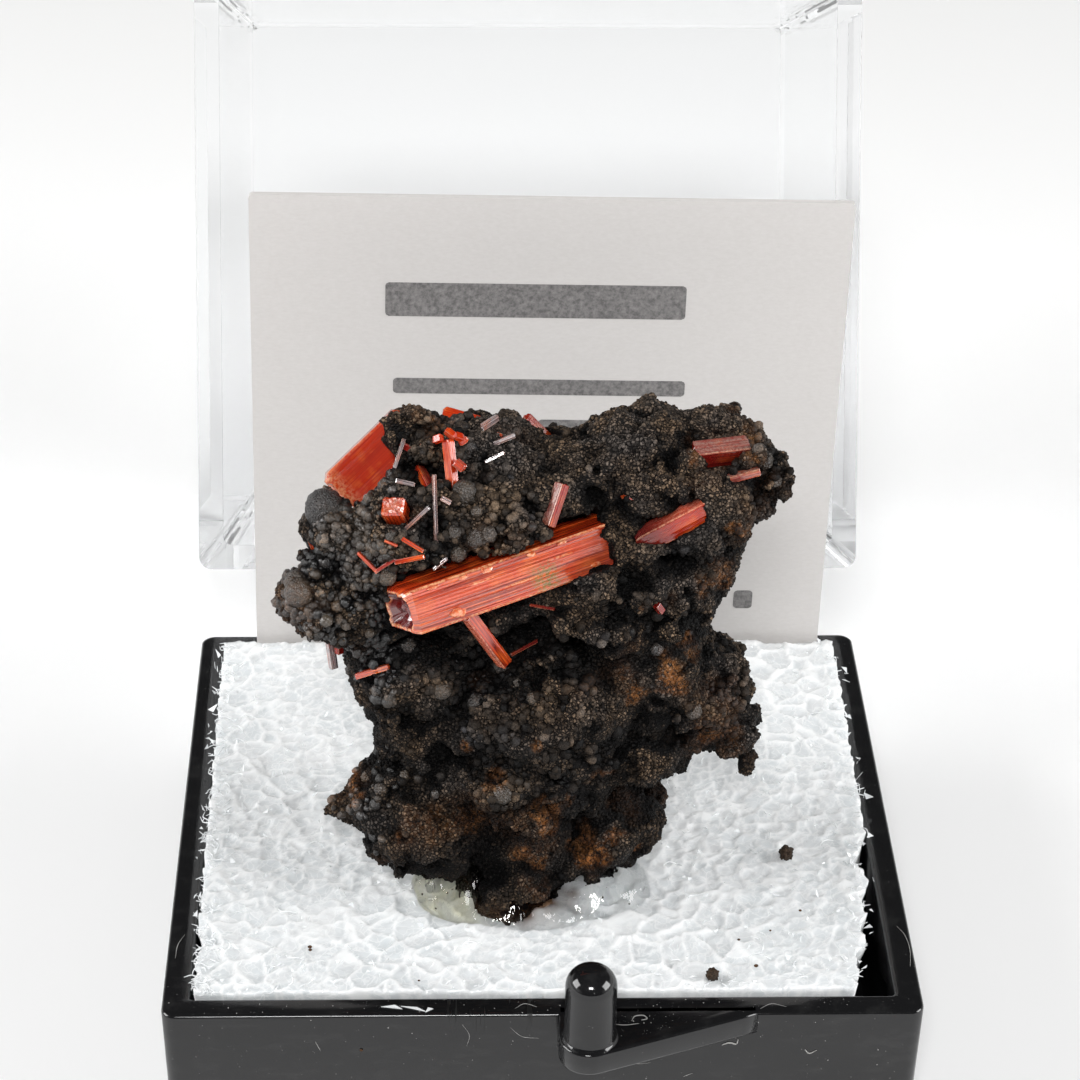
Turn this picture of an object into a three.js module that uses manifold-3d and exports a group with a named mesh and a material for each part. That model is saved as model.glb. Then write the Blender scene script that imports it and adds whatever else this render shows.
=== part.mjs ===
// A crocoite thumbnail specimen in its hinged display box.
//
// Orange-red crocoite prisms grow on a black, botryoidal goethite matrix. The
// specimen is glued to a pad of white foam in a black tray, a card stands
// behind it, and a clear lid turns on two hinge pins at the back. The lid is
// modelled open, with its back edge resting on the table.
//
// Millimetres. +X is to the right, +Y to the back and +Z up. The origin is the
// centre of the tray's underside.

import * as THREE from 'three';
import { mergeVertices } from 'three/addons/utils/BufferGeometryUtils.js';
import Module from 'manifold-3d';

const wasm = await Module();
wasm.setup();

// ---------------------------------------------------------------- dimensions

const WIDTH = 31.75; // the box is 1 1/4 inch wide
const DEPTH = 28.575; // and 1 1/8 inch deep, at the rim
const TRAY_HEIGHT = 7.1;
const WALL = 1.15;
const FLOOR = 1.3;
const TRAY_DRAFT = 1.5; // degrees
const CORNER_RADIUS = 0.6;

const LID_HEIGHT = 25.9;
const LID_ROOF = 1.0;
const LID_DRAFT = 0.6; // degrees
const RIM_GAP = 0.12; // between lid and tray when closed
const ROOF_BEVEL = 0.35;

const HINGE_BEHIND = 1.2; // axis behind the tray's back face
const HINGE_ABOVE = 1.9; // axis above the rim
const HINGE_RADIUS = 1.05; // of the ears and the lugs
const PIN_RADIUS = 0.5;
const PIN_HOLE_RADIUS = 0.6;
const EAR_X = 10; // middle of each ear
const EAR_THICKNESS = 1.6;
const LUG_THICKNESS = 1.5;
const HINGE_SIDE_GAP = 0.3;
const EAR_STEM = { low: 3.6, out: 1.4, high: 0.35 }; // its corners, below the rim
const LUG_RISE = 3.2; // how far the lug runs up the lid's back wall
const OVERLAP = 0.5; // how far ears, lugs and the ledge run into their wall

const PEG = { x: 1.84, front: 1.35, radius: 1.07, height: 3.5, dome: 0.9 };
const LEDGE = { thickness: 1.1, left: 0.55, right: 8.9, front: 2.6 };

const GAP = 0.3; // between pieces that touch
const NEEDLE_GAP = 0.15; // around the finest crystals
const FOAM_RISE = 1.2; // how much higher the foam is at the back than at the front
const FOAM_SHORT = 1.4; // cut away from the pad's front right side
const CARD_LIFT = 0.2; // the card stands this much above the foam's underside
const CARD = { width: 27, thickness: 0.3, top: 24.6, fromFront: 26.52, x: 0.55, turn: -0.85 };

const BACK = DEPTH / 2;
const FRONT = -DEPTH / 2;
const HINGE_Y = BACK + HINGE_BEHIND;
const HINGE_Z = TRAY_HEIGHT + HINGE_ABOVE;
const FOAM_FRONT = FRONT + WALL + GAP;
const FOAM_BACK = FRONT + CARD.fromFront - CARD.thickness / 2 - GAP;

// Lumps of the matrix: name, centre [x, y, height above the rim], radii and
// turn about Y in degrees. Together they give the stone's outer form.
const LUMPS = [
  ['foot', [-0.9, -5.0, 0.4], [1.9, 2.7, 2.3], 0],
  ['foot_top', [-0.8, -5.2, 3.0], [2.5, 2.7, 2.0], 0],
  ['foot_right', [2.0, -4.7, 2.0], [1.9, 2.6, 1.4], -10],
  ['lower_left', [-5.0, -5.5, 3.9], [3.1, 2.7, 2.5], 20],
  ['lower_left_side', [-7.0, -5.3, 4.2], [1.6, 1.8, 1.6], 25],
  ['left_tip', [-8.3, -5.3, 4.5], [1.0, 0.8, 0.45], 14],
  ['lower_right', [3.1, -4.3, 2.8], [2.1, 2.8, 2.0], 0],
  ['front_bulge', [-0.5, -5.5, 6.1], [3.6, 2.6, 2.6], 0],
  ['centre', [0.2, -4.9, 9.3], [4.4, 3.2, 3.0], -20],
  ['left_waist', [-4.6, -3.9, 7.9], [2.5, 2.7, 2.7], -35],
  ['left_middle', [-5.4, -4.0, 10.7], [2.8, 2.8, 2.7], -25],
  ['right_waist', [4.2, -4.1, 7.1], [2.2, 2.8, 1.9], 0],
  ['right_lobe', [6.8, -3.3, 8.7], [2.0, 2.4, 2.5], 15],
  ['right_lobe_low', [8.1, -3.7, 7.3], [1.1, 1.6, 1.35], 0],
  ['hook', [8.5, -4.0, 6.1], [0.45, 0.9, 0.75], 0],
  ['right_join', [5.4, -4.0, 9.6], [2.2, 2.6, 2.2], 0],
  ['upper_left', [-5.1, -4.7, 16.9], [3.4, 3.0, 3.3], 0],
  ['left_side', [-7.6, -5.1, 14.8], [2.2, 2.4, 2.2], 0],
  ['left_knob_top', [-8.4, -4.9, 17.9], [1.35, 1.5, 1.15], 0],
  ['left_knob_low', [-9.3, -5.5, 15.2], [1.4, 1.7, 1.7], 0],
  ['top_left', [-4.9, -2.3, 19.5], [2.1, 2.4, 2.1], 0],
  ['top_left_centre', [-2.2, -2.1, 19.0], [2.6, 2.6, 2.1], 0],
  ['top_front', [-2.0, -4.2, 17.8], [3.4, 2.8, 2.2], 0],
  ['top_centre', [0.7, -2.9, 18.5], [3.0, 3.0, 2.0], 0],
  ['top_right', [4.3, -2.1, 19.5], [2.7, 2.8, 2.0], 0],
  ['top_right_end', [7.3, -2.1, 19.8], [2.2, 2.2, 1.5], 15],
  ['right_arm', [6.4, -3.7, 18.5], [2.6, 2.6, 1.9], -25],
  ['right_shoulder', [6.7, -3.6, 16.4], [1.4, 2.2, 1.9], 20],
  ['spur', [9.0, -3.3, 19.3], [0.9, 1.1, 1.0], 0],
  ['spur_tip', [9.7, -3.3, 19.7], [0.55, 0.7, 0.6], 0],
  ['middle_bridge', [-1.6, -3.8, 14.0], [3.6, 2.6, 3.4], 0],
  ['core', [2.4, -4.1, 15.3], [3.8, 3.3, 3.2], -15],
  ['core_right', [5.1, -3.9, 14.7], [2.3, 2.8, 2.7], 15],
  ['core_low', [4.2, -4.1, 11.3], [2.9, 3.0, 2.4], 0],
  ['back', [0.0, -1.7, 10.3], [5.2, 2.8, 5.0], 0],
  ['back_top', [0.2, -0.9, 17.3], [4.4, 2.4, 2.6], 0],
  ['back_left', [-4.2, -1.7, 14.6], [3.0, 2.8, 3.6], 0],
  ['back_right', [4.4, -1.3, 14.0], [2.8, 2.6, 3.4], 0],
  ['back_low', [0.8, -2.0, 4.2], [3.0, 2.8, 3.4], 0],
];

// Hollow under the main crystal, in the same form as a lump.
const CAVITY = ['cavity', [0.2, -7.6, 13.2], [2.6, 2.6, 1.1], -14];

// Crocoite prisms. Each runs along its middle line from one end to the other,
// [x, y, height above the rim]. size is [height, thickness] of its section, and
// roll turns the section about the line, in degrees. tips are [length, scale]
// of the faces that close each end, and cut is how far its corners are cut off.
const CRYSTALS = [
  {
    name: 'crystal_main',
    bars: [{ from: [-6.0, -7.83, 15.75], to: [3.75, -4.4, 17.53], size: [1.95, 1.9], roll: 15,
      tips: [[0.25, 0.88], [0.1, 0.95]], cut: 0.12 }],
  },
  {
    name: 'crystal_back_left',
    bars: [{ from: [-8.45, -2.6, 18.2], to: [-5.3, -1.05, 20.8], size: [1.95, 1.6], roll: 35,
      tips: [[0.2, 0.84], [0.4, 0.6]], cut: 0.2 }],
  },
  {
    name: 'crystal_upper_right',
    bars: [{ from: [6.1, -4.0, 20.78], to: [8.35, -3.6, 20.85], size: [0.85, 0.95], roll: -10,
      tips: [[0.05, 0.95], [0.1, 0.9]], cut: 0.1 }],
  },
  {
    name: 'crystal_right_ledge',
    bars: [{ from: [7.45, -4.75, 20.1], to: [8.75, -4.4, 20.3], size: [0.36, 0.4], roll: 0,
      tips: [[0.05, 0.95], [0.05, 0.9]], cut: 0.1 }],
  },
  {
    name: 'crystal_right',
    bars: [{ from: [3.75, -6.0, 17.8], to: [6.85, -5.4, 19.35], size: [0.9, 0.95], roll: 6,
      tips: [[0.9, 0.3], [0.15, 0.8]], cut: 0.1 }],
  },
  {
    name: 'crystal_lower',
    bars: [{ from: [-3.12, -7.0, 14.95], to: [-1.6, -6.15, 12.05], size: [0.52, 0.5], roll: 18,
      tips: [[0.05, 0.9], [0.05, 0.9]], cut: 0 }],
  },
  {
    name: 'crystal_short',
    bars: [{ from: [0.68, -5.25, 20.2], to: [0.1, -6.15, 18.75], size: [0.5, 0.42], roll: 66,
      tips: [[0.04, 0.92], [0.04, 0.95]], cut: 0 }],
  },
  {
    name: 'crystal_block',
    bars: [{ from: [-6.2, -6.5, 19.95], to: [-5.95, -5.9, 19.0], size: [0.85, 0.95], roll: 12,
      tips: [[0.12, 0.8], [0.1, 0.9]], cut: 0.15 }],
  },
  {
    name: 'crystal_upright',
    bars: [
      { from: [-3.95, -4.1, 21.6], to: [-3.75, -5.2, 19.85], size: [0.4, 0.36], roll: 35,
        tips: [[0.1, 0.8], [0.05, 0.9]], cut: 0 },
      { from: [-4.55, -4.0, 21.55], to: [-3.2, -4.0, 21.65], size: [0.34, 0.24], roll: 30,
        tips: [[0.1, 0.6], [0.1, 0.6]], cut: 0 },
    ],
  },
  { name: 'needle_grey', bars: [needle([-4.52, -5.85, 21.0], [-4.44, -7.1, 18.5], 0.2, 0.16, 10)] },
  { name: 'blade_1', bars: [needle([-5.72, -3.75, 21.45], [-6.12, -4.3, 20.4], 0.16, 0.18, -64)] },
  { name: 'blade_2', bars: [needle([-2.1, -3.4, 21.0], [-1.2, -3.2, 21.3], 0.2, 0.18, 15)] },
  { name: 'blade_3', bars: [needle([-2.45, -4.3, 20.65], [-1.65, -4.1, 21.0], 0.14, 0.15, -140)] },
  { name: 'blade_4', bars: [needle([-2.55, -2.6, 21.3], [-1.9, -1.75, 21.3], 0.3, 0.18, 15)] },
  { name: 'blade_5', bars: [needle([-4.55, -7.7, 17.65], [-4.0, -7.5, 18.05], 0.15, 0.18, -138)] },
  { name: 'chip_1', bars: [needle([-4.25, -6.1, 20.05], [-3.85, -6.2, 19.85], 0.22, 0.26, -142)] },
  { name: 'chip_2', bars: [needle([-3.65, -4.75, 20.95], [-3.3, -5.0, 20.75], 0.34, 0.24, 20)] },
  { name: 'blade_6', bars: [needle([-6.05, -5.25, 20.35], [-5.3, -5.5, 20.3], 0.2, 0.2, -142)] },
  { name: 'needle_1', bars: [needle([-5.7, -6.85, 19.0], [-4.72, -6.75, 20.0], 0.17, 0.16, -147)] },
  { name: 'needle_2', bars: [needle([-5.8, -7.5, 19.0], [-4.95, -7.6, 18.45], 0.17, 0.15, 20)] },
  { name: 'needle_3', bars: [needle([-6.5, -7.25, 18.75], [-5.98, -7.45, 18.62], 0.13, 0.12, 20)] },
  { name: 'needle_4', bars: [needle([-6.1, -7.72, 18.0], [-4.9, -7.85, 18.35], 0.19, 0.16, 25)] },
  {
    name: 'needle_pair',
    bars: [
      needle([-7.6, -6.95, 18.0], [-6.8, -7.5, 17.4], 0.15, 0.13, 20),
      needle([-6.9, -7.5, 17.4], [-6.35, -7.6, 17.9], 0.15, 0.13, 20),
    ],
  },
  { name: 'crystal_left_edge', bars: [needle([-9.72, -4.6, 17.6], [-9.4, -4.75, 16.8], 0.3, 0.26, 20)] },
  { name: 'blade_left_low', bars: [needle([-8.95, -4.5, 12.5], [-8.75, -4.95, 11.0], 0.3, 0.34, 10)] },
  { name: 'needle_left_low', bars: [needle([-7.8, -5.9, 11.25], [-6.4, -6.2, 11.95], 0.24, 0.2, 10)] },
  { name: 'crystal_cavity', bars: [needle([-1.35, -5.9, 12.3], [-0.2, -5.4, 12.7], 0.18, 0.18, 25)] },
  { name: 'needle_cavity', bars: [needle([-0.6, -6.55, 15.2], [0.4, -6.95, 15.25], 0.13, 0.12, 25)] },
  { name: 'chip_right', bars: [needle([4.55, -7.1, 15.55], [4.8, -6.95, 15.1], 0.28, 0.24, 15)] },
  {
    name: 'crystal_ridge_left',
    bars: [{ from: [-4.2, -0.2, 20.45], to: [-1.9, -0.7, 20.0], size: [0.7, 0.8], roll: -30,
      tips: [[0.1, 0.8], [0.1, 0.8]], cut: 0.1 }],
  },
  {
    name: 'crystal_ridge_right',
    bars: [{ from: [-0.75, 0.0, 20.35], to: [0.35, -0.35, 19.3], size: [0.42, 0.5], roll: -20,
      tips: [[0.12, 0.7], [0.1, 0.8]], cut: 0.1 }],
  },
];

const CRUMBS = [
  { name: 'crumb_right', x: 10.9, y: -4.4, radius: 0.32 },
  { name: 'crumb_front', x: 7.1, y: -12.2, radius: 0.26 },
];

// ----------------------------------------------------------------- materials

const material = (color, roughness, metalness = 0) =>
  new THREE.MeshStandardMaterial({ color, roughness, metalness });
const clear = (color, roughness, opacity) =>
  new THREE.MeshStandardMaterial({ color, roughness, opacity, transparent: true });

const BLACK_PLASTIC = material(0x0d0d0e, 0.18);
const CLEAR_PLASTIC = clear(0xf4f8fa, 0.05, 0.25);
const FOAM = material(0xe9edf0, 0.7);
const CARD_STOCK = material(0xd8d3cf, 0.85);
const GLUE = clear(0xf0efe4, 0.08, 0.45);
const STONE = material(0x1e1916, 0.75);
const CROCOITE = material(0xd9431c, 0.2);

// -------------------------------------------------------------------- solids

const radians = THREE.MathUtils.degToRad;

function toSolid(geometry) {
  const bare = geometry.clone();
  bare.deleteAttribute('normal');
  bare.deleteAttribute('uv');
  const merged = mergeVertices(bare, 1e-5);
  return new wasm.Manifold(new wasm.Mesh({
    numProp: 3,
    vertProperties: new Float32Array(merged.attributes.position.array),
    triVerts: new Uint32Array(merged.index.array),
  }));
}

function toGeometry(solid) {
  const mesh = solid.getMesh();
  const geometry = new THREE.BufferGeometry();
  geometry.setAttribute('position', new THREE.BufferAttribute(mesh.vertProperties, 3));
  geometry.setIndex(new THREE.BufferAttribute(mesh.triVerts, 1));
  geometry.computeVertexNormals();
  return geometry;
}

const join = (solids) => solids.reduce((a, b) => a.add(b));

function moveVertices(geometry, move) {
  const position = geometry.attributes.position;
  const point = new THREE.Vector3();
  for (let i = 0; i < position.count; i += 1) {
    point.fromBufferAttribute(position, i);
    move(point);
    position.setXYZ(i, point.x, point.y, point.z);
  }
  return geometry;
}

function roundedRectangle(width, depth, radius) {
  const x = width / 2;
  const y = depth / 2;
  const shape = new THREE.Shape();
  shape.moveTo(-x + radius, -y);
  shape.lineTo(x - radius, -y);
  shape.absarc(x - radius, -y + radius, radius, -Math.PI / 2, 0);
  shape.lineTo(x, y - radius);
  shape.absarc(x - radius, y - radius, radius, 0, Math.PI / 2);
  shape.lineTo(-x + radius, y);
  shape.absarc(-x + radius, y - radius, radius, Math.PI / 2, Math.PI);
  shape.lineTo(-x, -y + radius);
  shape.absarc(-x + radius, -y + radius, radius, Math.PI, Math.PI * 1.5);
  return shape;
}

function extrude(shape, depth, curveSegments = 3) {
  return new THREE.ExtrudeGeometry(shape, { depth, curveSegments, bevelEnabled: false });
}

// A rounded block from z0 to z1, full size at fullZ, with sides that lean in
// by draft degrees away from there.
function draftedBlock(width, depth, radius, z0, z1, fullZ, draft) {
  const slope = Math.tan(radians(draft));
  const geometry = extrude(roundedRectangle(width, depth, radius), z1 - z0);
  geometry.translate(0, 0, z0);
  return moveVertices(geometry, (p) => {
    const inset = Math.abs(p.z - fullZ) * slope;
    p.x -= Math.sign(p.x) * inset;
    p.y -= Math.sign(p.y) * inset;
  });
}

// A plate in the YZ plane, thickness wide, with its middle at x.
function plateAcross(shape, x, thickness) {
  const geometry = extrude(shape, thickness, 7);
  geometry.applyMatrix4(new THREE.Matrix4().set(
    0, 0, 1, x - thickness / 2,
    1, 0, 0, 0,
    0, 1, 0, 0,
    0, 0, 0, 1,
  ));
  return toSolid(geometry);
}

function rodAcross(x0, x1, radius, segments) {
  const geometry = new THREE.CylinderGeometry(radius, radius, x1 - x0, segments);
  geometry.rotateZ(Math.PI / 2);
  geometry.translate((x0 + x1) / 2, HINGE_Y, HINGE_Z);
  return toSolid(geometry);
}

// ---------------------------------------------------------------------- tray

// Ear: a round end about the hinge axis on a stem from the tray's back wall.
function earShape() {
  const shape = new THREE.Shape();
  shape.moveTo(BACK - OVERLAP, TRAY_HEIGHT - EAR_STEM.low);
  shape.lineTo(HINGE_Y + HINGE_RADIUS, TRAY_HEIGHT - EAR_STEM.out);
  shape.lineTo(HINGE_Y + HINGE_RADIUS, HINGE_Z);
  shape.absarc(HINGE_Y, HINGE_Z, HINGE_RADIUS, 0, Math.PI);
  shape.lineTo(HINGE_Y - HINGE_RADIUS, TRAY_HEIGHT - EAR_STEM.high);
  shape.lineTo(BACK - OVERLAP, TRAY_HEIGHT - EAR_STEM.high);
  return shape;
}

// Peg with a domed top that the lid's front edge closes against.
function pegSolid() {
  const straight = TRAY_HEIGHT + PEG.height - PEG.dome;
  const profile = new THREE.Path();
  profile.moveTo(0, TRAY_HEIGHT - LEDGE.thickness);
  profile.lineTo(PEG.radius, TRAY_HEIGHT - LEDGE.thickness);
  profile.lineTo(PEG.radius, straight);
  profile.absellipse(0, straight, PEG.radius, PEG.dome, 0, Math.PI / 2);
  const points = profile.getPoints(4);
  points[points.length - 1].x = 0;
  const geometry = new THREE.LatheGeometry(points, 20);
  geometry.rotateX(Math.PI / 2);
  geometry.translate(PEG.x, FRONT - PEG.front, 0);
  return toSolid(geometry);
}

// Ledge that carries the peg: round about the peg, then straight back to the
// tray's front face.
function ledgeSolid() {
  const centreY = FRONT - PEG.front;
  const radius = LEDGE.front - PEG.front;
  const shape = new THREE.Shape();
  shape.moveTo(LEDGE.left, FRONT + OVERLAP);
  shape.lineTo(LEDGE.left, centreY);
  shape.absarc(LEDGE.left + radius, centreY, radius, Math.PI, Math.PI * 1.6);
  shape.lineTo(LEDGE.right, FRONT);
  shape.lineTo(LEDGE.right, FRONT + OVERLAP);
  const geometry = extrude(shape, LEDGE.thickness, 6);
  geometry.translate(0, 0, TRAY_HEIGHT - LEDGE.thickness);
  return toSolid(geometry);
}

function makeTray() {
  const outer = toSolid(draftedBlock(
    WIDTH, DEPTH, CORNER_RADIUS, 0, TRAY_HEIGHT, TRAY_HEIGHT, TRAY_DRAFT,
  ));
  const inner = toSolid(draftedBlock(
    WIDTH - 2 * WALL, DEPTH - 2 * WALL, CORNER_RADIUS * 0.7,
    FLOOR, TRAY_HEIGHT + 1, TRAY_HEIGHT, TRAY_DRAFT / 2,
  ));
  const ears = [-EAR_X, EAR_X].map((x) => plateAcross(earShape(), x, EAR_THICKNESS));
  const holes = [-EAR_X, EAR_X].map((x) => rodAcross(
    x - EAR_THICKNESS, x + EAR_THICKNESS, PIN_HOLE_RADIUS, 16,
  ));
  const body = join([outer, ledgeSolid(), pegSolid(), ...ears]);
  return body.subtract(join([inner, ...holes]));
}

// ----------------------------------------------------------------------- lid

// Lug: a round end about the hinge axis, joined to the lid's back wall.
function lugShape() {
  const wall = BACK - OVERLAP;
  const shape = new THREE.Shape();
  shape.moveTo(wall, HINGE_Z - HINGE_RADIUS);
  shape.lineTo(HINGE_Y, HINGE_Z - HINGE_RADIUS);
  shape.absarc(HINGE_Y, HINGE_Z, HINGE_RADIUS, -Math.PI / 2, Math.PI / 4);
  shape.lineTo(wall, HINGE_Z + LUG_RISE);
  return shape;
}

// The lid as it sits when closed.
function closedLid() {
  const rim = TRAY_HEIGHT + RIM_GAP;
  const top = rim + LID_HEIGHT;
  const walls = draftedBlock(WIDTH, DEPTH, CORNER_RADIUS, rim, top - ROOF_BEVEL, rim, LID_DRAFT);
  const inset = (top - ROOF_BEVEL - rim) * Math.tan(radians(LID_DRAFT));
  const cap = extrude(
    roundedRectangle(WIDTH - 2 * inset, DEPTH - 2 * inset, CORNER_RADIUS), ROOF_BEVEL,
  );
  moveVertices(cap, (p) => {
    p.x -= Math.sign(p.x) * p.z;
    p.y -= Math.sign(p.y) * p.z;
    p.z += top - ROOF_BEVEL;
  });
  const inner = toSolid(draftedBlock(
    WIDTH - 2 * WALL, DEPTH - 2 * WALL, CORNER_RADIUS * 0.7,
    rim - 1, top - LID_ROOF, rim, LID_DRAFT,
  ));
  const lugX = EAR_X - EAR_THICKNESS / 2 - HINGE_SIDE_GAP - LUG_THICKNESS / 2;
  const pinEnd = EAR_X + EAR_THICKNESS / 2;
  const lugs = [-lugX, lugX].map((x) => plateAcross(lugShape(), x, LUG_THICKNESS));
  const pins = [rodAcross(-pinEnd, -lugX, PIN_RADIUS, 12), rodAcross(lugX, pinEnd, PIN_RADIUS, 12)];
  const body = join([toSolid(walls), toSolid(cap), ...lugs, ...pins]);
  return body.subtract(inner);
}

// Angle from closed to where the roof's back edge meets the table.
function openAngle() {
  const edgeZ = RIM_GAP + LID_HEIGHT - ROOF_BEVEL - HINGE_ABOVE;
  const edgeY = HINGE_BEHIND + (LID_HEIGHT - ROOF_BEVEL) * Math.tan(radians(LID_DRAFT));
  const reach = Math.hypot(edgeY, edgeZ);
  return Math.acos(-HINGE_Z / reach) + Math.atan2(edgeY, edgeZ);
}

function makeLid() {
  const turned = toGeometry(closedLid());
  turned.translate(0, -HINGE_Y, -HINGE_Z);
  turned.rotateX(-openAngle());
  turned.translate(0, HINGE_Y, HINGE_Z);
  return toSolid(turned);
}

// ----------------------------------------------------------- foam, card, glue

const foamTop = (y) =>
  TRAY_HEIGHT + FOAM_RISE * THREE.MathUtils.clamp((y - FOAM_FRONT) / (FOAM_BACK - FOAM_FRONT), 0, 1);

// Pad of foam, cut a little short on the right at the front. raise lifts its
// top, for the clearance of what stands on it.
function makeFoam(raise = 0) {
  const left = -WIDTH / 2 + WALL + GAP;
  const right = WIDTH / 2 - WALL - GAP;
  const shape = new THREE.Shape();
  shape.moveTo(left + 0.35, FOAM_FRONT);
  shape.lineTo(right - FOAM_SHORT, FOAM_FRONT);
  shape.lineTo(right - FOAM_SHORT * 0.85, -8);
  shape.quadraticCurveTo(right - FOAM_SHORT / 2, -5, right - 0.1, -3);
  shape.lineTo(right - 0.25, FOAM_BACK);
  shape.lineTo(left + 0.25, FOAM_BACK);
  shape.lineTo(left, -4);
  const bottom = FLOOR + GAP;
  const geometry = extrude(shape, 1, 3);
  return toSolid(moveVertices(geometry, (p) => {
    p.z = p.z > 0.5 ? foamTop(p.y) + raise : bottom;
  }));
}

// Card that stands on the tray's floor behind the foam, turned a little.
function makeCard() {
  const bottom = FLOOR + GAP + CARD_LIFT;
  const height = TRAY_HEIGHT + CARD.top - bottom;
  const geometry = extrude(roundedRectangle(CARD.width, height, 0.2), CARD.thickness, 2);
  geometry.translate(0, 0, -CARD.thickness / 2);
  geometry.rotateX(Math.PI / 2);
  geometry.rotateY(radians(-CARD.turn));
  geometry.translate(CARD.x, FRONT + CARD.fromFront, bottom + height / 2);
  return toSolid(geometry);
}

// --------------------------------------------------------------------- stone

// A rough ellipsoid: an icosphere whose radius wanders by a few percent.
function lumpSolid([name, centre, radii, turn], grow = 0) {
  const size = Math.max(...radii);
  const detail = size > 3.5 ? 2 : 1;
  const phase = name.length + centre[0] * 1.7 + centre[2] * 0.9;
  const geometry = new THREE.IcosahedronGeometry(1, detail);
  moveVertices(geometry, (p) => {
    const wander = Math.sin(5.1 * p.x + phase) * Math.sin(4.3 * p.y - phase)
      + 0.6 * Math.sin(8.7 * p.z + 2 * phase) * Math.sin(7.9 * p.x);
    p.multiplyScalar(1 + 0.05 * wander);
    p.set(p.x * (radii[0] + grow), p.y * (radii[1] + grow), p.z * (radii[2] + grow));
  });
  geometry.rotateY(radians(turn));
  geometry.translate(centre[0], centre[1], centre[2] + TRAY_HEIGHT);
  return toSolid(geometry);
}

const lumps = (grow = 0) => join(LUMPS.map((lump) => lumpSolid(lump, grow)));

function makeMatrix(foamRaised) {
  const sockets = CRYSTALS.map((crystal) => crystalSolid(crystal, crystal.bars[0].gap ?? GAP));
  return lumps().subtract(join([lumpSolid(CAVITY), foamRaised, ...sockets]));
}

// Glue: a low pool around the foot with a thick blob on each side.
function makeGlue(foamRaised) {
  const pool = join([
    lumpSolid(['pool', [-0.6, -6.0, 0.4], [4.2, 2.9, 0.9], 0]),
    lumpSolid(['blob_left', [-3.7, -6.0, 0.6], [1.9, 1.7, 1.5], 0]),
    lumpSolid(['blob_right', [2.5, -5.9, 0.5], [2.2, 1.9, 1.3], 0]),
  ]);
  return pool.subtract(join([lumps(GAP), foamRaised]));
}

function makeCrumb({ x, y, radius }) {
  const geometry = new THREE.IcosahedronGeometry(radius, 1);
  moveVertices(geometry, (p) => {
    p.multiplyScalar(1 + 0.18 * Math.sin(9 * p.x + 14 * p.y + 5 * p.z));
    p.z *= 0.8;
  });
  geometry.translate(x, y, foamTop(y) + radius + 0.05);
  return toSolid(geometry);
}

// ------------------------------------------------------------------ crystals

function needle(from, to, height, thickness, roll) {
  return { from, to, size: [height, thickness], roll, tips: [[0.04, 0.85], [0.04, 0.85]], cut: 0,
    gap: NEEDLE_GAP };
}

// Section of a prism: a four-sided outline, its corners cut off by `cut`.
function sectionShape(height, thickness, cut) {
  const x = height / 2;
  const y = thickness / 2;
  const corners = cut > 0
    ? [[x, -y + cut], [x, y - cut], [x - cut, y], [-x + cut, y],
      [-x, y - cut], [-x, -y + cut], [-x + cut, -y], [x - cut, -y]]
    : [[x, -y], [x, y], [-x, y], [-x, -y]];
  return new THREE.Shape(corners.map(([u, v]) => new THREE.Vector2(u, v)));
}

// One prism along its middle line, made wider and longer by grow.
function barSolid(bar, grow) {
  const from = new THREE.Vector3(...bar.from);
  const to = new THREE.Vector3(...bar.to);
  const along = to.clone().sub(from).normalize();
  const up = new THREE.Vector3(0, 0, 1).addScaledVector(along, -along.z).normalize();
  const front = along.clone().cross(up);
  const roll = radians(bar.roll);
  const across = up.clone().multiplyScalar(Math.cos(roll)).addScaledVector(front, -Math.sin(roll));
  const facing = along.clone().cross(across);
  const length = from.distanceTo(to) + 2 * grow;
  const shape = sectionShape(bar.size[0] + 2 * grow, bar.size[1] + 2 * grow, bar.cut);
  const geometry = new THREE.ExtrudeGeometry(shape, { depth: 3, steps: 3, bevelEnabled: false });
  const [[tipA, scaleA], [tipB, scaleB]] = bar.tips;
  const stations = [0, tipA, length - tipB, length];
  const scales = grow > 0 ? [1, 1, 1, 1] : [scaleA, 1, 1, scaleB];
  moveVertices(geometry, (p) => {
    const layer = Math.round(p.z);
    p.set(p.x * scales[layer], p.y * scales[layer], stations[layer] - grow);
  });
  const place = new THREE.Matrix4().makeBasis(across, facing, along);
  place.setPosition(from.x, from.y, from.z + TRAY_HEIGHT);
  geometry.applyMatrix4(place);
  return toSolid(geometry);
}

const crystalSolid = (crystal, grow = 0) => join(crystal.bars.map((bar) => barSolid(bar, grow)));

// ------------------------------------------------------------------ assembly

const group = new THREE.Group();

function addPiece(name, solid, finish) {
  const mesh = new THREE.Mesh(toGeometry(solid), finish);
  mesh.name = name;
  group.add(mesh);
}

const foamRaised = makeFoam(GAP);

addPiece('tray', makeTray(), BLACK_PLASTIC);
addPiece('lid', makeLid(), CLEAR_PLASTIC);
addPiece('foam_pad', makeFoam(), FOAM);
addPiece('card', makeCard(), CARD_STOCK);
addPiece('glue', makeGlue(foamRaised), GLUE);
addPiece('matrix', makeMatrix(foamRaised), STONE);
CRYSTALS.forEach((crystal) => addPiece(crystal.name, crystalSolid(crystal), CROCOITE));
CRUMBS.forEach((crumb) => addPiece(crumb.name, makeCrumb(crumb), STONE));

export default group;
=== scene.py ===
import math

import bmesh
import bpy
import numpy as np
from mathutils import Matrix, Vector


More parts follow.
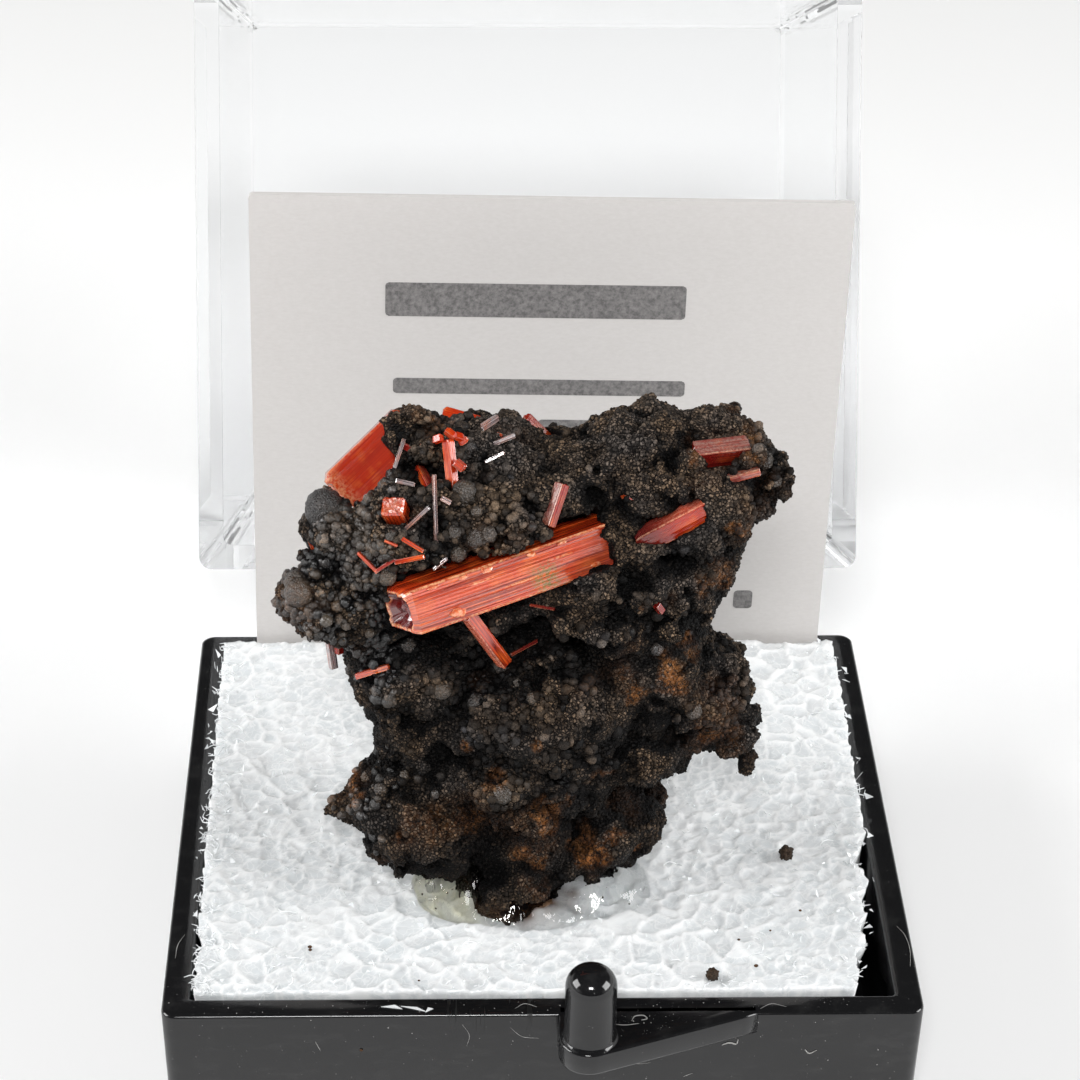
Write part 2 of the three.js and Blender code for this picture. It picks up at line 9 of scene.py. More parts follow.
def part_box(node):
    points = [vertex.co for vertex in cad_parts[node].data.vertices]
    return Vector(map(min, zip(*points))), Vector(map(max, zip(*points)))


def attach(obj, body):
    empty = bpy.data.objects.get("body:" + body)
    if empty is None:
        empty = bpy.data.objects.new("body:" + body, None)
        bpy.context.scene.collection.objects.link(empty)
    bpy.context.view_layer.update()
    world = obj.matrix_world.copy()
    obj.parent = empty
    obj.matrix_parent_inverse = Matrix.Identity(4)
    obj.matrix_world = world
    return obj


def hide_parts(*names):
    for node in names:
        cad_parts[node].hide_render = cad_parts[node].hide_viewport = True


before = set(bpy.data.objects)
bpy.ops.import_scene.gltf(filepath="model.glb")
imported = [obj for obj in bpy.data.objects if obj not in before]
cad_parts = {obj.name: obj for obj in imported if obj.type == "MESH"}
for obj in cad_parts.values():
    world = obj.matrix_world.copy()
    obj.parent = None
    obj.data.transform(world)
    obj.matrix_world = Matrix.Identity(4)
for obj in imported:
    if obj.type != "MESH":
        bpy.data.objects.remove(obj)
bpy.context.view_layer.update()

# The looks of a crocoite specimen in its hinged display box.
#
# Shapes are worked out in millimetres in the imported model's frame: +X to the
# right, +Y to the back, +Z up, origin under the tray. They become metres when a
# mesh is made. "Height" is height above the tray's rim.

MM = 0.001

# The box: its plan at the rim, the rim's height, and the tray's walls and floor.
WIDTH = 31.75
DEPTH = 28.575
RIM = 7.1
WALL = 1.15
FLOOR = 1.3
# Its back and front faces, and the hinge's axis.
BACK = DEPTH / 2
FRONT = -DEPTH / 2
HINGE_Y = BACK + 1.2
HINGE_Z = RIM + 1.9
# How far the tray's outside and inside lean in for each mm down.
DRAFT = math.tan(math.radians(1.5))
INNER_DRAFT = math.tan(math.radians(0.75))
# The hinge's ears: the round end's radius, the thickness, the pin's hole and where
# they stand.
EAR_RADIUS = 1.05
EAR_THICK = 1.6
PIN_HOLE = 0.6
EARS_X = (-10, 10)
# The foam: the gap in front of it, how far its top rises to the back and is lifted
# by its cells, how far it goes to each side, and its back edge.
FOAM_GAP = 0.3
FOAM_RISE = 1.2
FOAM_LIFT = 0.12
FOAM_REACH = WIDTH / 2 - WALL - 0.06
FOAM_BACK = FRONT + 26.07


# ------------------------------------------------------------------ mesh code


def new_piece(name, points, faces, material, slot, body="base", replaces=(), smooth=True):
    """A mesh object from points in mm and a list of (n, corners) face arrays."""
    mesh = bpy.data.meshes.new(name)
    faces = [np.asarray(f, np.int32) for f in faces if len(f)]
    sizes = np.concatenate([np.full(len(f), f.shape[1], np.int32) for f in faces])
    corners = np.concatenate([f.ravel() for f in faces])
    starts = np.concatenate([[0], np.cumsum(sizes)[:-1]]).astype(np.int32)
    mesh.vertices.add(len(points))
    mesh.vertices.foreach_set("co", (np.asarray(points) * MM).astype(np.float32).ravel())
    mesh.loops.add(len(corners))
    mesh.loops.foreach_set("vertex_index", corners)
    mesh.polygons.add(len(sizes))
    mesh.polygons.foreach_set("loop_start", starts)
    mesh.update(calc_edges=True)
    mesh.polygons.foreach_set("use_smooth", np.full(len(sizes), smooth))
    mesh.materials.append(material)
    piece = bpy.data.objects.new(name, mesh)
    bpy.context.scene.collection.objects.link(piece)
    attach(piece, body)
    if replaces:
        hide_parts(*replaces)
    return piece


def set_values(piece, **values):
    """Puts one number per vertex on the piece for each name given."""
    for name, numbers in values.items():
        layer = piece.data.attributes.new(name, "FLOAT", "POINT")
        layer.data.foreach_set("value", np.asarray(numbers, np.float32))


def grid_faces(rows, columns, closed=False, first=0):
    """Quads of a grid of rows x columns points, row after row. closed joins each
    row's last point to its first."""
    across = columns if closed else columns - 1
    i, j = np.meshgrid(np.arange(rows - 1), np.arange(across), indexing="ij")
    k = (j + 1) % columns
    quads = np.stack([i * columns + j, i * columns + k, (i + 1) * columns + k, (i + 1) * columns + j])
    return quads.reshape(4, -1).T + first


def fan_faces(ring, middle, flip=False):
    """Triangles from a closed ring of point numbers to the point in its middle."""
    ring = np.asarray(ring)
    after = np.roll(ring, -1)
    middle = np.full(len(ring), middle)
    return np.stack([after, ring, middle] if flip else [ring, after, middle], axis=1)


def unit(vectors):
    """Vectors made one long: each is divided by its own length."""
    return vectors / np.linalg.norm(vectors, axis=-1, keepdims=True)


class Shape:
    """Points and faces gathered part by part, for pieces made of many solids."""

    def __init__(self):
        """Starts with no points, no faces and no values."""
        self.points, self.faces, self.values, self.count = [], [], [], 0

    def add(self, points, faces, value=0.0):
        """Adds one solid, its faces counted on from the points so far."""
        self.points.append(points)
        self.faces += [np.asarray(f) + self.count for f in faces]
        self.values.append(np.broadcast_to(np.float32(value), len(points)))
        self.count += len(points)

    def piece(self, name, material, slot, value_name=None, **options):
        """Makes one piece of all that was added; value_name is the attribute that
        takes each solid's value."""
        corners = sorted({f.shape[1] for f in self.faces})
        faces = [np.concatenate([f for f in self.faces if f.shape[1] == n]) for n in corners]
        made = new_piece(name, np.concatenate(self.points), faces, material, slot, **options)
        if value_name:
            set_values(made, **{value_name: np.concatenate(self.values)})
        return made


# ---------------------------------------------------------------------- noise


def lattice(cell, salt):
    """A repeatable number from 0 to 1 for each whole-number cell (..., 3): the
    three numbers are multiplied by large primes, added, and shift-mixed."""
    c = np.asarray(cell, np.int64).astype(np.uint32)
    mixed = c[..., 0] * np.uint32(374761393) + c[..., 1] * np.uint32(668265263)
    mixed = mixed + c[..., 2] * np.uint32(2246822519) + np.uint32(salt * 974634777 % 4294967296)
    mixed = (mixed ^ (mixed >> np.uint32(13))) * np.uint32(1274126177)
    mixed = (mixed ^ (mixed >> np.uint32(15))) * np.uint32(2654435761)
    mixed = mixed ^ (mixed >> np.uint32(16))
    return mixed.astype(np.float32) / np.float32(4294967296)


def noise(points, salt=0):
    """Smooth noise from -1 to 1: the lattice numbers at a unit cube's 8 corners,
    blended by 3t^2 - 2t^3 along each axis."""
    base = np.floor(points).astype(np.int64)
    t = (points - base).astype(np.float32)
    t = t * t * (3 - 2 * t)
    total = np.zeros(points.shape[:-1], np.float32)
    for corner in np.ndindex(2, 2, 2):
        weight = np.prod(np.where(corner, t, 1 - t), axis=-1)
        total += weight * lattice(base + np.array(corner), salt)
    return 2 * total - 1


def rough(points, octaves=3, salt=0):
    """Noise summed over octaves, each twice as fine and half as strong."""
    return sum(noise(points * 2**k, salt + 11 * k) / 2**k for k in range(octaves))


def cells(points, salt=0):
    """Distance to the nearest and next nearest of the seeds, one placed at random
    in each unit cube, and the nearest seed's own number and place."""
    base = np.floor(points).astype(np.int64)
    near = np.full(points.shape[:-1], 9, np.float32)
    following = near.copy()
    own = np.zeros_like(near)
    seed_at = np.zeros(points.shape, np.float32)
    for offset in np.ndindex(3, 3, 3):
        cell = base + np.array(offset) - 1
        jitter = np.stack([lattice(cell, salt + k) for k in (1, 2, 3)], axis=-1)
        seed = cell + jitter
        distance = np.linalg.norm(points - seed, axis=-1).astype(np.float32)
        closer = distance < near
        following = np.where(closer, near, np.minimum(following, distance))
        own = np.where(closer, lattice(cell, salt + 4), own)
        seed_at = np.where(closer[..., None], seed, seed_at)
        near = np.minimum(near, distance)
    return near, following, own, seed_at


def ease(x, low, high):
    """0 below low, 1 above high, and 3t^2 - 2t^3 between."""
    t = np.clip((x - low) / (high - low), 0, 1)
    return t * t * (3 - 2 * t)


# ------------------------------------------------------------------ materials


def make_finish(name, **sockets):
    """A new material: its Principled shader's inputs are set by name, with _ for
    a space. Returns the material, its node tree and the shader."""
    material = bpy.data.materials.new(name)
    material.use_nodes = True
    tree = material.node_tree
    shader = tree.nodes["Principled BSDF"]
    for key, value in sockets.items():
        shader.inputs[key.replace("_", " ")].default_value = value
    return material, tree, shader


def node(tree, kind, sockets=None, **settings):
    """A node of that kind. sockets maps an input to a value or to another node's
    output."""
    made = tree.nodes.new(kind)
    for key, value in settings.items():
        setattr(made, key, value)
    for key, value in (sockets or {}).items():
        if isinstance(value, bpy.types.NodeSocket):
            tree.links.new(value, made.inputs[key])
        else:
            made.inputs[key].default_value = value
    return made


def millimetres(tree, stretch=(1, 1, 1)):
    """The surface point in mm, stretched along each axis."""
    place = node(tree, "ShaderNodeTexCoord").outputs["Object"]
    scale = [1000 * s for s in stretch]
    return node(tree, "ShaderNodeVectorMath", {0: place, 1: scale}, operation="MULTIPLY").outputs[0]


def noise_node(tree, vector, scale, detail=3.0, roughness=0.55):
    """Soft noise from 0 to 1, scale waves a mm."""
    sockets = {"Vector": vector, "Scale": scale, "Detail": detail, "Roughness": roughness}
    return node(tree, "ShaderNodeTexNoise", sockets).outputs["Fac"]


def cell_node(tree, vector, scale, feature="F1", output="Distance", randomness=1.0):
    """Cell noise, scale cells a mm: by default the distance to the nearest seed."""
    sockets = {"Vector": vector, "Scale": scale, "Randomness": randomness}
    return node(tree, "ShaderNodeTexVoronoi", sockets, feature=feature).outputs[output]


def steps(tree, value, low, high, start=0.0, end=1.0):
    """value taken from low..high to start..end, and held there."""
    sockets = {"Value": value, "From Min": low, "From Max": high, "To Min": start, "To Max": end}
    return node(tree, "ShaderNodeMapRange", sockets).outputs["Result"]


def smooth_steps(tree, value, low, high, start=0.0, end=1.0):
    """The same as steps, with its two corners rounded."""
    sockets = {"Value": value, "From Min": low, "From Max": high, "To Min": start, "To Max": end}
    return node(tree, "ShaderNodeMapRange", sockets, interpolation_type="SMOOTHSTEP").outputs["Result"]


def maths(tree, operation, first, second=0.0):
    """One sum of two numbers or sockets."""
    return node(tree, "ShaderNodeMath", {0: first, 1: second}, operation=operation).outputs[0]


def mix_colours(tree, share, first, second):
    """first where share is 0, second where it is 1, and a blend between."""
    sockets = {"Factor": share, "A": rgba(first), "B": rgba(second)}
    made = tree.nodes.new("ShaderNodeMix")
    made.data_type = "RGBA"
    for key, index in (("Factor", 0), ("A", 6), ("B", 7)):
        value = sockets[key]
        if isinstance(value, bpy.types.NodeSocket):
            tree.links.new(value, made.inputs[index])
        else:
            made.inputs[index].default_value = value
    return made.outputs[2]


def rgba(colour):
    """A colour with its alpha, or the socket as it is."""
    return colour if isinstance(colour, bpy.types.NodeSocket) else (*colour, 1.0)


def value_node(tree, name):
    """The number that set_values put on the mesh under that name."""
    return node(tree, "ShaderNodeAttribute", attribute_name=name).outputs["Fac"]


def bump(tree, shader, height, depth_mm, strength=1.0):
    """Tilts the shading by the slope of height, which is depth_mm deep at 1."""
    sockets = {"Height": height, "Distance": depth_mm * MM, "Strength": strength}
    made = node(tree, "ShaderNodeBump", sockets)
    tree.links.new(made.outputs["Normal"], shader.inputs["Normal"])
    return made


def stone_finish(name, gloss, roughness, grains=False):
    """Goethite: near black, with brown grain tops. `light` is painted light and
    shade: tops are paler where the place is open and faces the sky, and darker in
    hollows and low down. `grain` is 1 on separate grains and 0 on the body, where
    cells make them, `rust` turns tops ochre, less so where `light` paints shade,
    and `sheen` gives a smooth blue-grey skin, which `light` also darkens. With
    grains, `grain` is taken as 1 and there are no cells, which renders faster."""
    material, tree, shader = make_finish(name, IOR=1.6, Specular_IOR_Level=gloss)
    place = millimetres(tree)
    patch = noise_node(tree, place, 0.45, 5)
    light, sheen, grain = (value_node(tree, n) for n in ("light", "sheen", "grain"))
    own = steps(tree, noise_node(tree, place, 16.0, 3, 0.65), 0.36, 0.64, 0.2, 1.2)
    height = maths(tree, "MULTIPLY", noise_node(tree, place, 11.0, 3), 0.07)
    if not grains:
        edge = cell_node(tree, place, 7.0, feature="DISTANCE_TO_EDGE")
        tone = node(tree, "ShaderNodeSeparateColor", {0: cell_node(tree, place, 7.0,
                                                                   output="Color")}).outputs["Red"]
        bright = maths(tree, "POWER", steps(tree, tone, 0.0, 1.0, 0.2, 1.15), 1.8)
        crown = maths(tree, "MULTIPLY", steps(tree, edge, 0.03, 0.24, 0.0, 1.0), bright)
        own = maths(tree, "ADD", maths(tree, "MULTIPLY", grain, own),
                    maths(tree, "MULTIPLY", maths(tree, "SUBTRACT", 1.0, grain), crown))
        dome = maths(tree, "MULTIPLY", smooth_steps(tree, edge, 0.0, 0.28), 0.08)
        height = maths(tree, "ADD", height, maths(tree, "MULTIPLY", dome,
                                                  steps(tree, grain, 0.0, 1.0, 1.0, 0.0)))
    # Painted light and shade: each grain top is only as pale as `light` lets it be.
    top = maths(tree, "MULTIPLY", own, light)
    warm = steps(tree, patch, 0.38, 0.60)
    pale = mix_colours(tree, warm, (0.150, 0.126, 0.110), (0.235, 0.158, 0.100))
    colour = mix_colours(tree, top, (0.0012, 0.0010, 0.0011), pale)
    smooth = mix_colours(tree, warm, (0.070, 0.074, 0.088), (0.120, 0.095, 0.070))
    # Painted shade: the smooth skin goes black where `light` is low.
    smooth = mix_colours(tree, light, (0.002, 0.002, 0.0025), smooth)
    colour = mix_colours(tree, sheen, colour, smooth)
    speckle = steps(tree, noise_node(tree, place, 6.0, 3, 0.7), 0.38, 0.58)
    # Rust shows less where `light` paints shade.
    rusty = maths(tree, "MULTIPLY", maths(tree, "MULTIPLY", value_node(tree, "rust"), speckle),
                  steps(tree, light, 0.0, 0.5, 0.25, 1.0))
    ochre = mix_colours(tree, noise_node(tree, place, 1.7, 3), (0.16, 0.036, 0.009), (0.46, 0.20, 0.055))
    colour = mix_colours(tree, rusty, colour, ochre)
    tree.links.new(colour, shader.inputs["Base Color"])
    tree.links.new(steps(tree, sheen, 0.0, 1.0, roughness, 0.22), shader.inputs["Roughness"])
    bump(tree, shader, maths(tree, "MULTIPLY", height, steps(tree, sheen, 0.0, 1.0, 1.0, 0.15)), 1.0, 1.0)
    return material


def crocoite_finish(name, colour, dark, through, pale=(0.58, 0.22, 0.15), specular=0.5):
    """Crocoite: orange-red, part see-through, with a very high IOR. Thin straight
    lines run the whole length of the prism; `around` and `along` are mm on its
    surface. `stain` is a brown-green patch; `film` is a pale coat, partly a
    painted reflection on the faces that look one way; `edge` is a painted pale
    highlight along the rims; `hollow` is deep red, painted shade inside a broken
    end and on crystals and faces in shade, and darkening near one end where a
    crystal's look fades it."""
    material, tree, shader = make_finish(
        name, Roughness=0.13, IOR=2.36, Transmission_Weight=through, Specular_IOR_Level=specular
    )
    around, along = value_node(tree, "around"), value_node(tree, "along")
    sockets = {"X": maths(tree, "MULTIPLY", around, 7.0), "Y": maths(tree, "MULTIPLY", along, 0.10)}
    run = node(tree, "ShaderNodeCombineXYZ", sockets).outputs[0]
    line = noise_node(tree, run, 1.0, 5.0, 0.75)
    split = cell_node(tree, run, 0.85, feature="DISTANCE_TO_EDGE")
    cloud = noise_node(tree, millimetres(tree), 1.1, 3.0)
    speckle = noise_node(tree, millimetres(tree), 7.0, 3.0, 0.7)
    base = mix_colours(tree, steps(tree, cloud, 0.45, 0.72, 0.0, 0.7), colour, (0.90, 0.19, 0.030))
    base = mix_colours(tree, steps(tree, line, 0.40, 0.50, 0.9, 0.0), base, dark)
    base = mix_colours(tree, steps(tree, split, 0.0, 0.07, 1.0, 0.0), base, dark)
    # Partly painted reflection: the pale film, speckled and lined.
    film = maths(tree, "MULTIPLY", value_node(tree, "film"), steps(tree, speckle, 0.30, 0.60, 0.25, 1.0))
    film = maths(tree, "MULTIPLY", film, steps(tree, line, 0.42, 0.60, 0.35, 1.0))
    base = mix_colours(tree, film, base, pale)
    stain = maths(tree, "MULTIPLY", value_node(tree, "stain"), steps(tree, speckle, 0.42, 0.56, 0.1, 1.0))
    base = mix_colours(tree, stain, base, (0.19, 0.125, 0.018))
    # Painted shade: deep red where `hollow` says.
    base = mix_colours(tree, value_node(tree, "hollow"), base, (0.11, 0.006, 0.006))
    # Painted highlight: pale rims where `edge` says.
    rim = maths(tree, "MULTIPLY", value_node(tree, "edge"), steps(tree, speckle, 0.38, 0.60))
    base = mix_colours(tree, rim, base, (0.93, 0.50, 0.25))
    tree.links.new(base, shader.inputs["Base Color"])
    tree.links.new(steps(tree, film, 0.0, 1.0, 0.13, 0.42), shader.inputs["Roughness"])
    bump(tree, shader, line, 0.010, 0.6)
    return material


def black_plastic_finish():
    """Moulded black plastic: a thin uneven film of dust, fine rub marks and, at
    the top of the front wall, short upright scuffs."""
    material, tree, shader = make_finish("black_plastic", IOR=1.49)
    place = millimetres(tree)
    film = noise_node(tree, place, 0.25, 5)
    smear = noise_node(tree, millimetres(tree, (1, 1, 3)), 0.8, 5, 0.65)
    rub = noise_node(tree, millimetres(tree, (1, 1, 0.12)), 3.0, 3)
    parts = node(tree, "ShaderNodeSeparateXYZ", {0: place})
    scuff = noise_node(tree, millimetres(tree, (5.0, 0.4, 0.35)), 1.0, 2, 0.6)
    scuff = steps(tree, scuff, 0.60, 0.66)
    near_rim = steps(tree, parts.outputs["Z"], RIM - 1.6, RIM - 0.1)
    middle = steps(tree, maths(tree, "ABSOLUTE", maths(tree, "ADD", parts.outputs["X"], 2.3)), 1.2, 3.2,
                   1.0, 0.0)
    scuff = maths(tree, "MULTIPLY", scuff, maths(tree, "MULTIPLY", near_rim, middle))
    haze = steps(tree, smear, 0.52, 0.80, 0.0, 0.05)
    dust = steps(tree, cell_node(tree, place, 2.2), 0.07, 0.03, 0.0, 0.35)
    colour = mix_colours(tree, maths(tree, "MAXIMUM", dust, haze), (0.006, 0.006, 0.0065),
                         (0.25, 0.25, 0.24))
    colour = mix_colours(tree, scuff, colour, (0.001, 0.001, 0.001))
    tree.links.new(colour, shader.inputs["Base Color"])
    gloss = maths(tree, "MAXIMUM", steps(tree, film, 0.35, 0.75, 0.09, 0.2),
                  maths(tree, "MULTIPLY", scuff, 0.7))
    tree.links.new(gloss, shader.inputs["Roughness"])
    bump(tree, shader, maths(tree, "ADD", film, maths(tree, "MULTIPLY", rub, 0.1)), 0.02, 0.25)
    return material


def clear_plastic_finish():
    """Clear moulded plastic with faint rub marks."""
    material, tree, shader = make_finish(
        "clear_plastic", Base_Color=(0.985, 0.992, 1.0, 1), IOR=1.2, Transmission_Weight=1.0
    )
    marks = noise_node(tree, millimetres(tree, (1, 1, 0.2)), 1.5, 4)
    tree.links.new(steps(tree, marks, 0.5, 0.8, 0.01, 0.06), shader.inputs["Roughness"])
    return material


# The colour of the foam's thin walls, where they catch the light.
FOAM_WHITE = (0.78, 0.79, 0.79)


def foam_finish():
    """Cut foam: every cell is a skin with its own tone and tilt, parted from the
    next by a thin white wall, in two sizes. `wall` is 1 on the standing walls."""
    material, tree, shader = make_finish("cut_foam", Roughness=0.16, IOR=1.4, Subsurface_Weight=0.6,
                                         Subsurface_Scale=0.0010, Subsurface_Radius=(1.0, 1.0, 1.0))
    place = millimetres(tree)
    waver = node(tree, "ShaderNodeTexNoise", {"Vector": place, "Scale": 1.3,
                                              "Detail": 2.0}).outputs["Color"]
    moved = node(tree, "ShaderNodeVectorMath", {0: place, 1: waver}, operation="ADD").outputs[0]
    cloud = noise_node(tree, place, 0.5, 4)
    colour = mix_colours(tree, steps(tree, cloud, 0.35, 0.65), (0.64, 0.66, 0.67), (0.69, 0.70, 0.705))
    height = maths(tree, "MULTIPLY", noise_node(tree, place, 5.0, 3), 0.03)
    for scale, width, share in ((0.95, 0.035, 0.5), (2.1, 0.05, 0.35)):
        sockets = {"Vector": moved, "Scale": scale}
        cell = node(tree, "ShaderNodeTexVoronoi", sockets)
        edge = node(tree, "ShaderNodeTexVoronoi", sockets, feature="DISTANCE_TO_EDGE").outputs["Distance"]
        tone = node(tree, "ShaderNodeSeparateColor", {0: cell.outputs["Color"]}).outputs["Green"]
        colour = mix_colours(tree, steps(tree, tone, 0.3, 1.0, 0.0, share), colour, (0.56, 0.595, 0.61))
        colour = mix_colours(tree, steps(tree, edge, width * 0.4, width, share * 1.4, 0.0), colour,
                             FOAM_WHITE)
        local = node(tree, "ShaderNodeVectorMath", {0: moved, 1: cell.outputs["Position"]},
                     operation="SUBTRACT")
        lean = node(tree, "ShaderNodeVectorMath", {0: cell.outputs["Color"], 1: (0.5, 0.5, 0.5)},
                    operation="SUBTRACT")
        tilt = node(tree, "ShaderNodeVectorMath", {0: local.outputs[0], 1: lean.outputs[0]},
                    operation="DOT_PRODUCT")
        height = maths(tree, "ADD", height, maths(tree, "MULTIPLY", tilt.outputs["Value"], 0.16))
    colour = mix_colours(tree, value_node(tree, "wall"), colour, FOAM_WHITE)
    tree.links.new(colour, shader.inputs["Base Color"])
    bump(tree, shader, height, 1.0, 0.3)
    return material


def membrane_finish():
    """Loose skins and shreds of foam: thin, glossy and half see-through."""
    material, _, _ = make_finish(
        "foam_membrane", Base_Color=(0.90, 0.92, 0.93, 1), Roughness=0.12, IOR=1.45, Alpha=0.6
    )
    return material


def card_finish():
    """Card: warm white with short paper fibres."""
    material, tree, shader = make_finish("card_stock", Roughness=0.8)
    fibre = noise_node(tree, millimetres(tree, (1, 1, 2.5)), 3.5, 4, 0.7)
    colour = mix_colours(tree, steps(tree, fibre, 0.3, 0.7), (0.535, 0.514, 0.499), (0.575, 0.555, 0.541))
    tree.links.new(colour, shader.inputs["Base Color"])
    bump(tree, shader, fibre, 0.015, 0.4)
    return material


def print_finish():
    """Plain printed bars: grey-black ink, broken up by the card's fibres."""
    material, tree, shader = make_finish("printed_ink", Roughness=0.7)
    fibre = noise_node(tree, millimetres(tree), 5.0, 4, 0.7)
    colour = mix_colours(tree, steps(tree, fibre, 0.35, 0.7), (0.10, 0.095, 0.095), (0.24, 0.23, 0.225))
    tree.links.new(colour, shader.inputs["Base Color"])
    return material


def glue_finish():
    """Clear glue, drawn into strands, yellowish where `yellow` says so, and brown
    where `brown` says that stone dust ran into it."""
    material, tree, shader = make_finish("clear_glue", Roughness=0.04, IOR=1.46, Transmission_Weight=1.0)
    cloud = noise_node(tree, millimetres(tree), 1.6, 3)
    tint = mix_colours(tree, steps(tree, cloud, 0.4, 0.7), (0.93, 0.92, 0.80), (0.78, 0.75, 0.50))
    clear = mix_colours(tree, value_node(tree, "yellow"), (0.95, 0.965, 0.965), tint)
    tree.links.new(mix_colours(tree, value_node(tree, "brown"), clear, (0.085, 0.03, 0.011)),
                   shader.inputs["Base Color"])
    bump(tree, shader, noise_node(tree, millimetres(tree, (2.6, 1, 0.7)), 1.0, 2), 0.16, 0.6)
    return material


def dust_finish():
    """Dust: dull grey, lighter and darker by soft noise."""
    material, tree, shader = make_finish("dust", Roughness=0.7)
    tint = noise_node(tree, millimetres(tree), 1.0, 2)
    colour = mix_colours(tree, tint, (0.16, 0.15, 0.14), (0.45, 0.45, 0.44))
    tree.links.new(colour, shader.inputs["Base Color"])
    return material


STONE = stone_finish("goethite", 0.10, 0.6)
STONE_GLOSSY = stone_finish("goethite_glossy", 0.45, 0.4)
STONE_GRAINS = stone_finish("goethite_grains", 0.10, 0.6, grains=True)
CROCOITE = crocoite_finish("crocoite", (0.62, 0.052, 0.009), (0.17, 0.009, 0.005), 0.15, specular=0.30)
CROCOITE_CLEAR = crocoite_finish("crocoite_clear", (0.58, 0.030, 0.003), (0.44, 0.018, 0.003), 0.30,
                                 specular=0.06)
# A darker, deep red copy of crocoite: partly the crystals' own colour, partly painted shade for crystals
# set deep in the stone.
CROCOITE_DEEP_SHADED = crocoite_finish("crocoite_deep_shaded", (0.38, 0.014, 0.005), (0.15, 0.006, 0.004), 0.3,
                                pale=(0.40, 0.29, 0.24), specular=0.12)
CROCOITE_PALE = crocoite_finish("crocoite_pale", (0.42, 0.34, 0.34), (0.05, 0.035, 0.04), 0.3,
                                pale=(0.6, 0.55, 0.55), specular=0.75)
BLACK_PLASTIC = black_plastic_finish()
CLEAR_PLASTIC = clear_plastic_finish()
FOAM = foam_finish()
MEMBRANE = membrane_finish()
CARD = card_finish()
INK = print_finish()
GLUE = glue_finish()
DUST = dust_finish()


# ----------------------------------------------------------------------- tray


def rounded_ring(width, depth, radius, z, corner_points=7):
    """A level closed line round a rectangle with round corners: each corner is a
    quarter circle of that radius."""
    angle = np.linspace(0, math.pi / 2, corner_points)
    parts = []
    for turn, (sx, sy) in enumerate([(1, 1), (-1, 1), (-1, -1), (1, -1)]):
        a = angle + turn * math.pi / 2
        parts.append(np.stack([sx * (width / 2 - radius) + radius * np.cos(a),
                               sy * (depth / 2 - radius) + radius * np.sin(a),
                               np.full_like(a, z)], axis=1))
    return np.concatenate(parts)


def lofted_rings(rings):
    """Rings joined in order and closed at both ends by a point in the middle."""
    count = len(rings[0])
    points = np.concatenate(rings)
    bottom, top = rings[0].mean(0), rings[-1].mean(0)
    points = np.concatenate([points, [bottom, top]])
    last = (len(rings) - 1) * count
    return points, [
        grid_faces(len(rings), count, closed=True),
        fan_faces(np.arange(count), len(points) - 2, flip=True),
        fan_faces(np.arange(count) + last, len(points) - 1),
    ]


def tray_shell():
    """The tray's walls and floor: a cross-section carried round a rounded
    rectangle, up the drafted outside, over a round-edged rim and down inside."""
    soft = 0.16
    section = [(RIM * DRAFT + soft, 0.0), (RIM * DRAFT + soft * 0.3, soft * 0.3), (RIM * DRAFT, soft)]
    section += [(RIM * DRAFT * 0.5, RIM * 0.5), (soft * DRAFT, RIM - soft)]
    for a in (30, 60, 90):
        s, c = math.sin(math.radians(a)), math.cos(math.radians(a))
        section.append((soft * (1 - c), RIM - soft * (1 - s)))
    for a in (0, 30, 60, 90):
        s, c = math.sin(math.radians(a)), math.cos(math.radians(a))
        section.append((WALL - soft * (1 - s), RIM - soft * (1 - c)))
    deep = RIM - FLOOR
    section += [(WALL + deep * INNER_DRAFT * 0.5, RIM - deep / 2), (WALL + deep * INNER_DRAFT, FLOOR + 0.3)]
    section += [(WALL + deep * INNER_DRAFT + 0.3, FLOOR)]
    rings = [
        rounded_ring(WIDTH - 2 * inset, DEPTH - 2 * inset, max(0.6 - inset * 0.3, 0.25), z)
        for inset, z in section
    ]
    return lofted_rings(rings)


def turned(profile, centre, segments=56):
    """A profile of (radius, z) turned about a vertical line."""
    angle = np.linspace(0, 2 * math.pi, segments, endpoint=False)
    rings = [
        np.stack([centre[0] + r * np.cos(angle), centre[1] + r * np.sin(angle), np.full_like(angle, z)], 1)
        for r, z in profile
    ]
    return lofted_rings(rings)


def slab(outline, z0, z1, soft):
    """An outline given a thickness from z0 to z1, its edges rounded by soft. The
    outline shrinks towards its middle line by the same amount."""
    middle = outline.mean(0)
    away = unit(outline - middle)
    sides = unit(np.roll(outline, -1, 0) - np.roll(outline, 1, 0))
    out = np.stack([sides[:, 1], -sides[:, 0]], 1)
    out *= np.sign((out * away).sum(1, keepdims=True))
    rings = []
    for a in (90, 60, 30, 0):
        inset, drop = soft * (1 - math.cos(math.radians(a))), soft * (1 - math.sin(math.radians(a)))
        rings.append(np.column_stack([outline - out * inset, np.full(len(outline), z0 + drop)]))
    for a in (0, 30, 60, 90):
        inset, drop = soft * (1 - math.cos(math.radians(a))), soft * (1 - math.sin(math.radians(a)))
        rings.append(np.column_stack([outline - out * inset, np.full(len(outline), z1 - drop)]))
    return lofted_rings(rings)


def ledge_outline():
    """The ledge seen from above: half round about the peg, then straight back to
    the tray's face."""
    left, right, radius, centre_y = 0.55, 8.9, 1.25, FRONT - 1.35
    angle = np.radians(np.linspace(180, 288, 22))
    arc = np.stack([left + radius + radius * np.cos(angle), centre_y + radius * np.sin(angle)], 1)
    run = np.linspace(arc[-1], (right, FRONT), 12)[1:]
    inside = np.linspace((right, FRONT + 0.5), (left, FRONT + 0.5), 14)
    return np.concatenate([arc, run, inside])


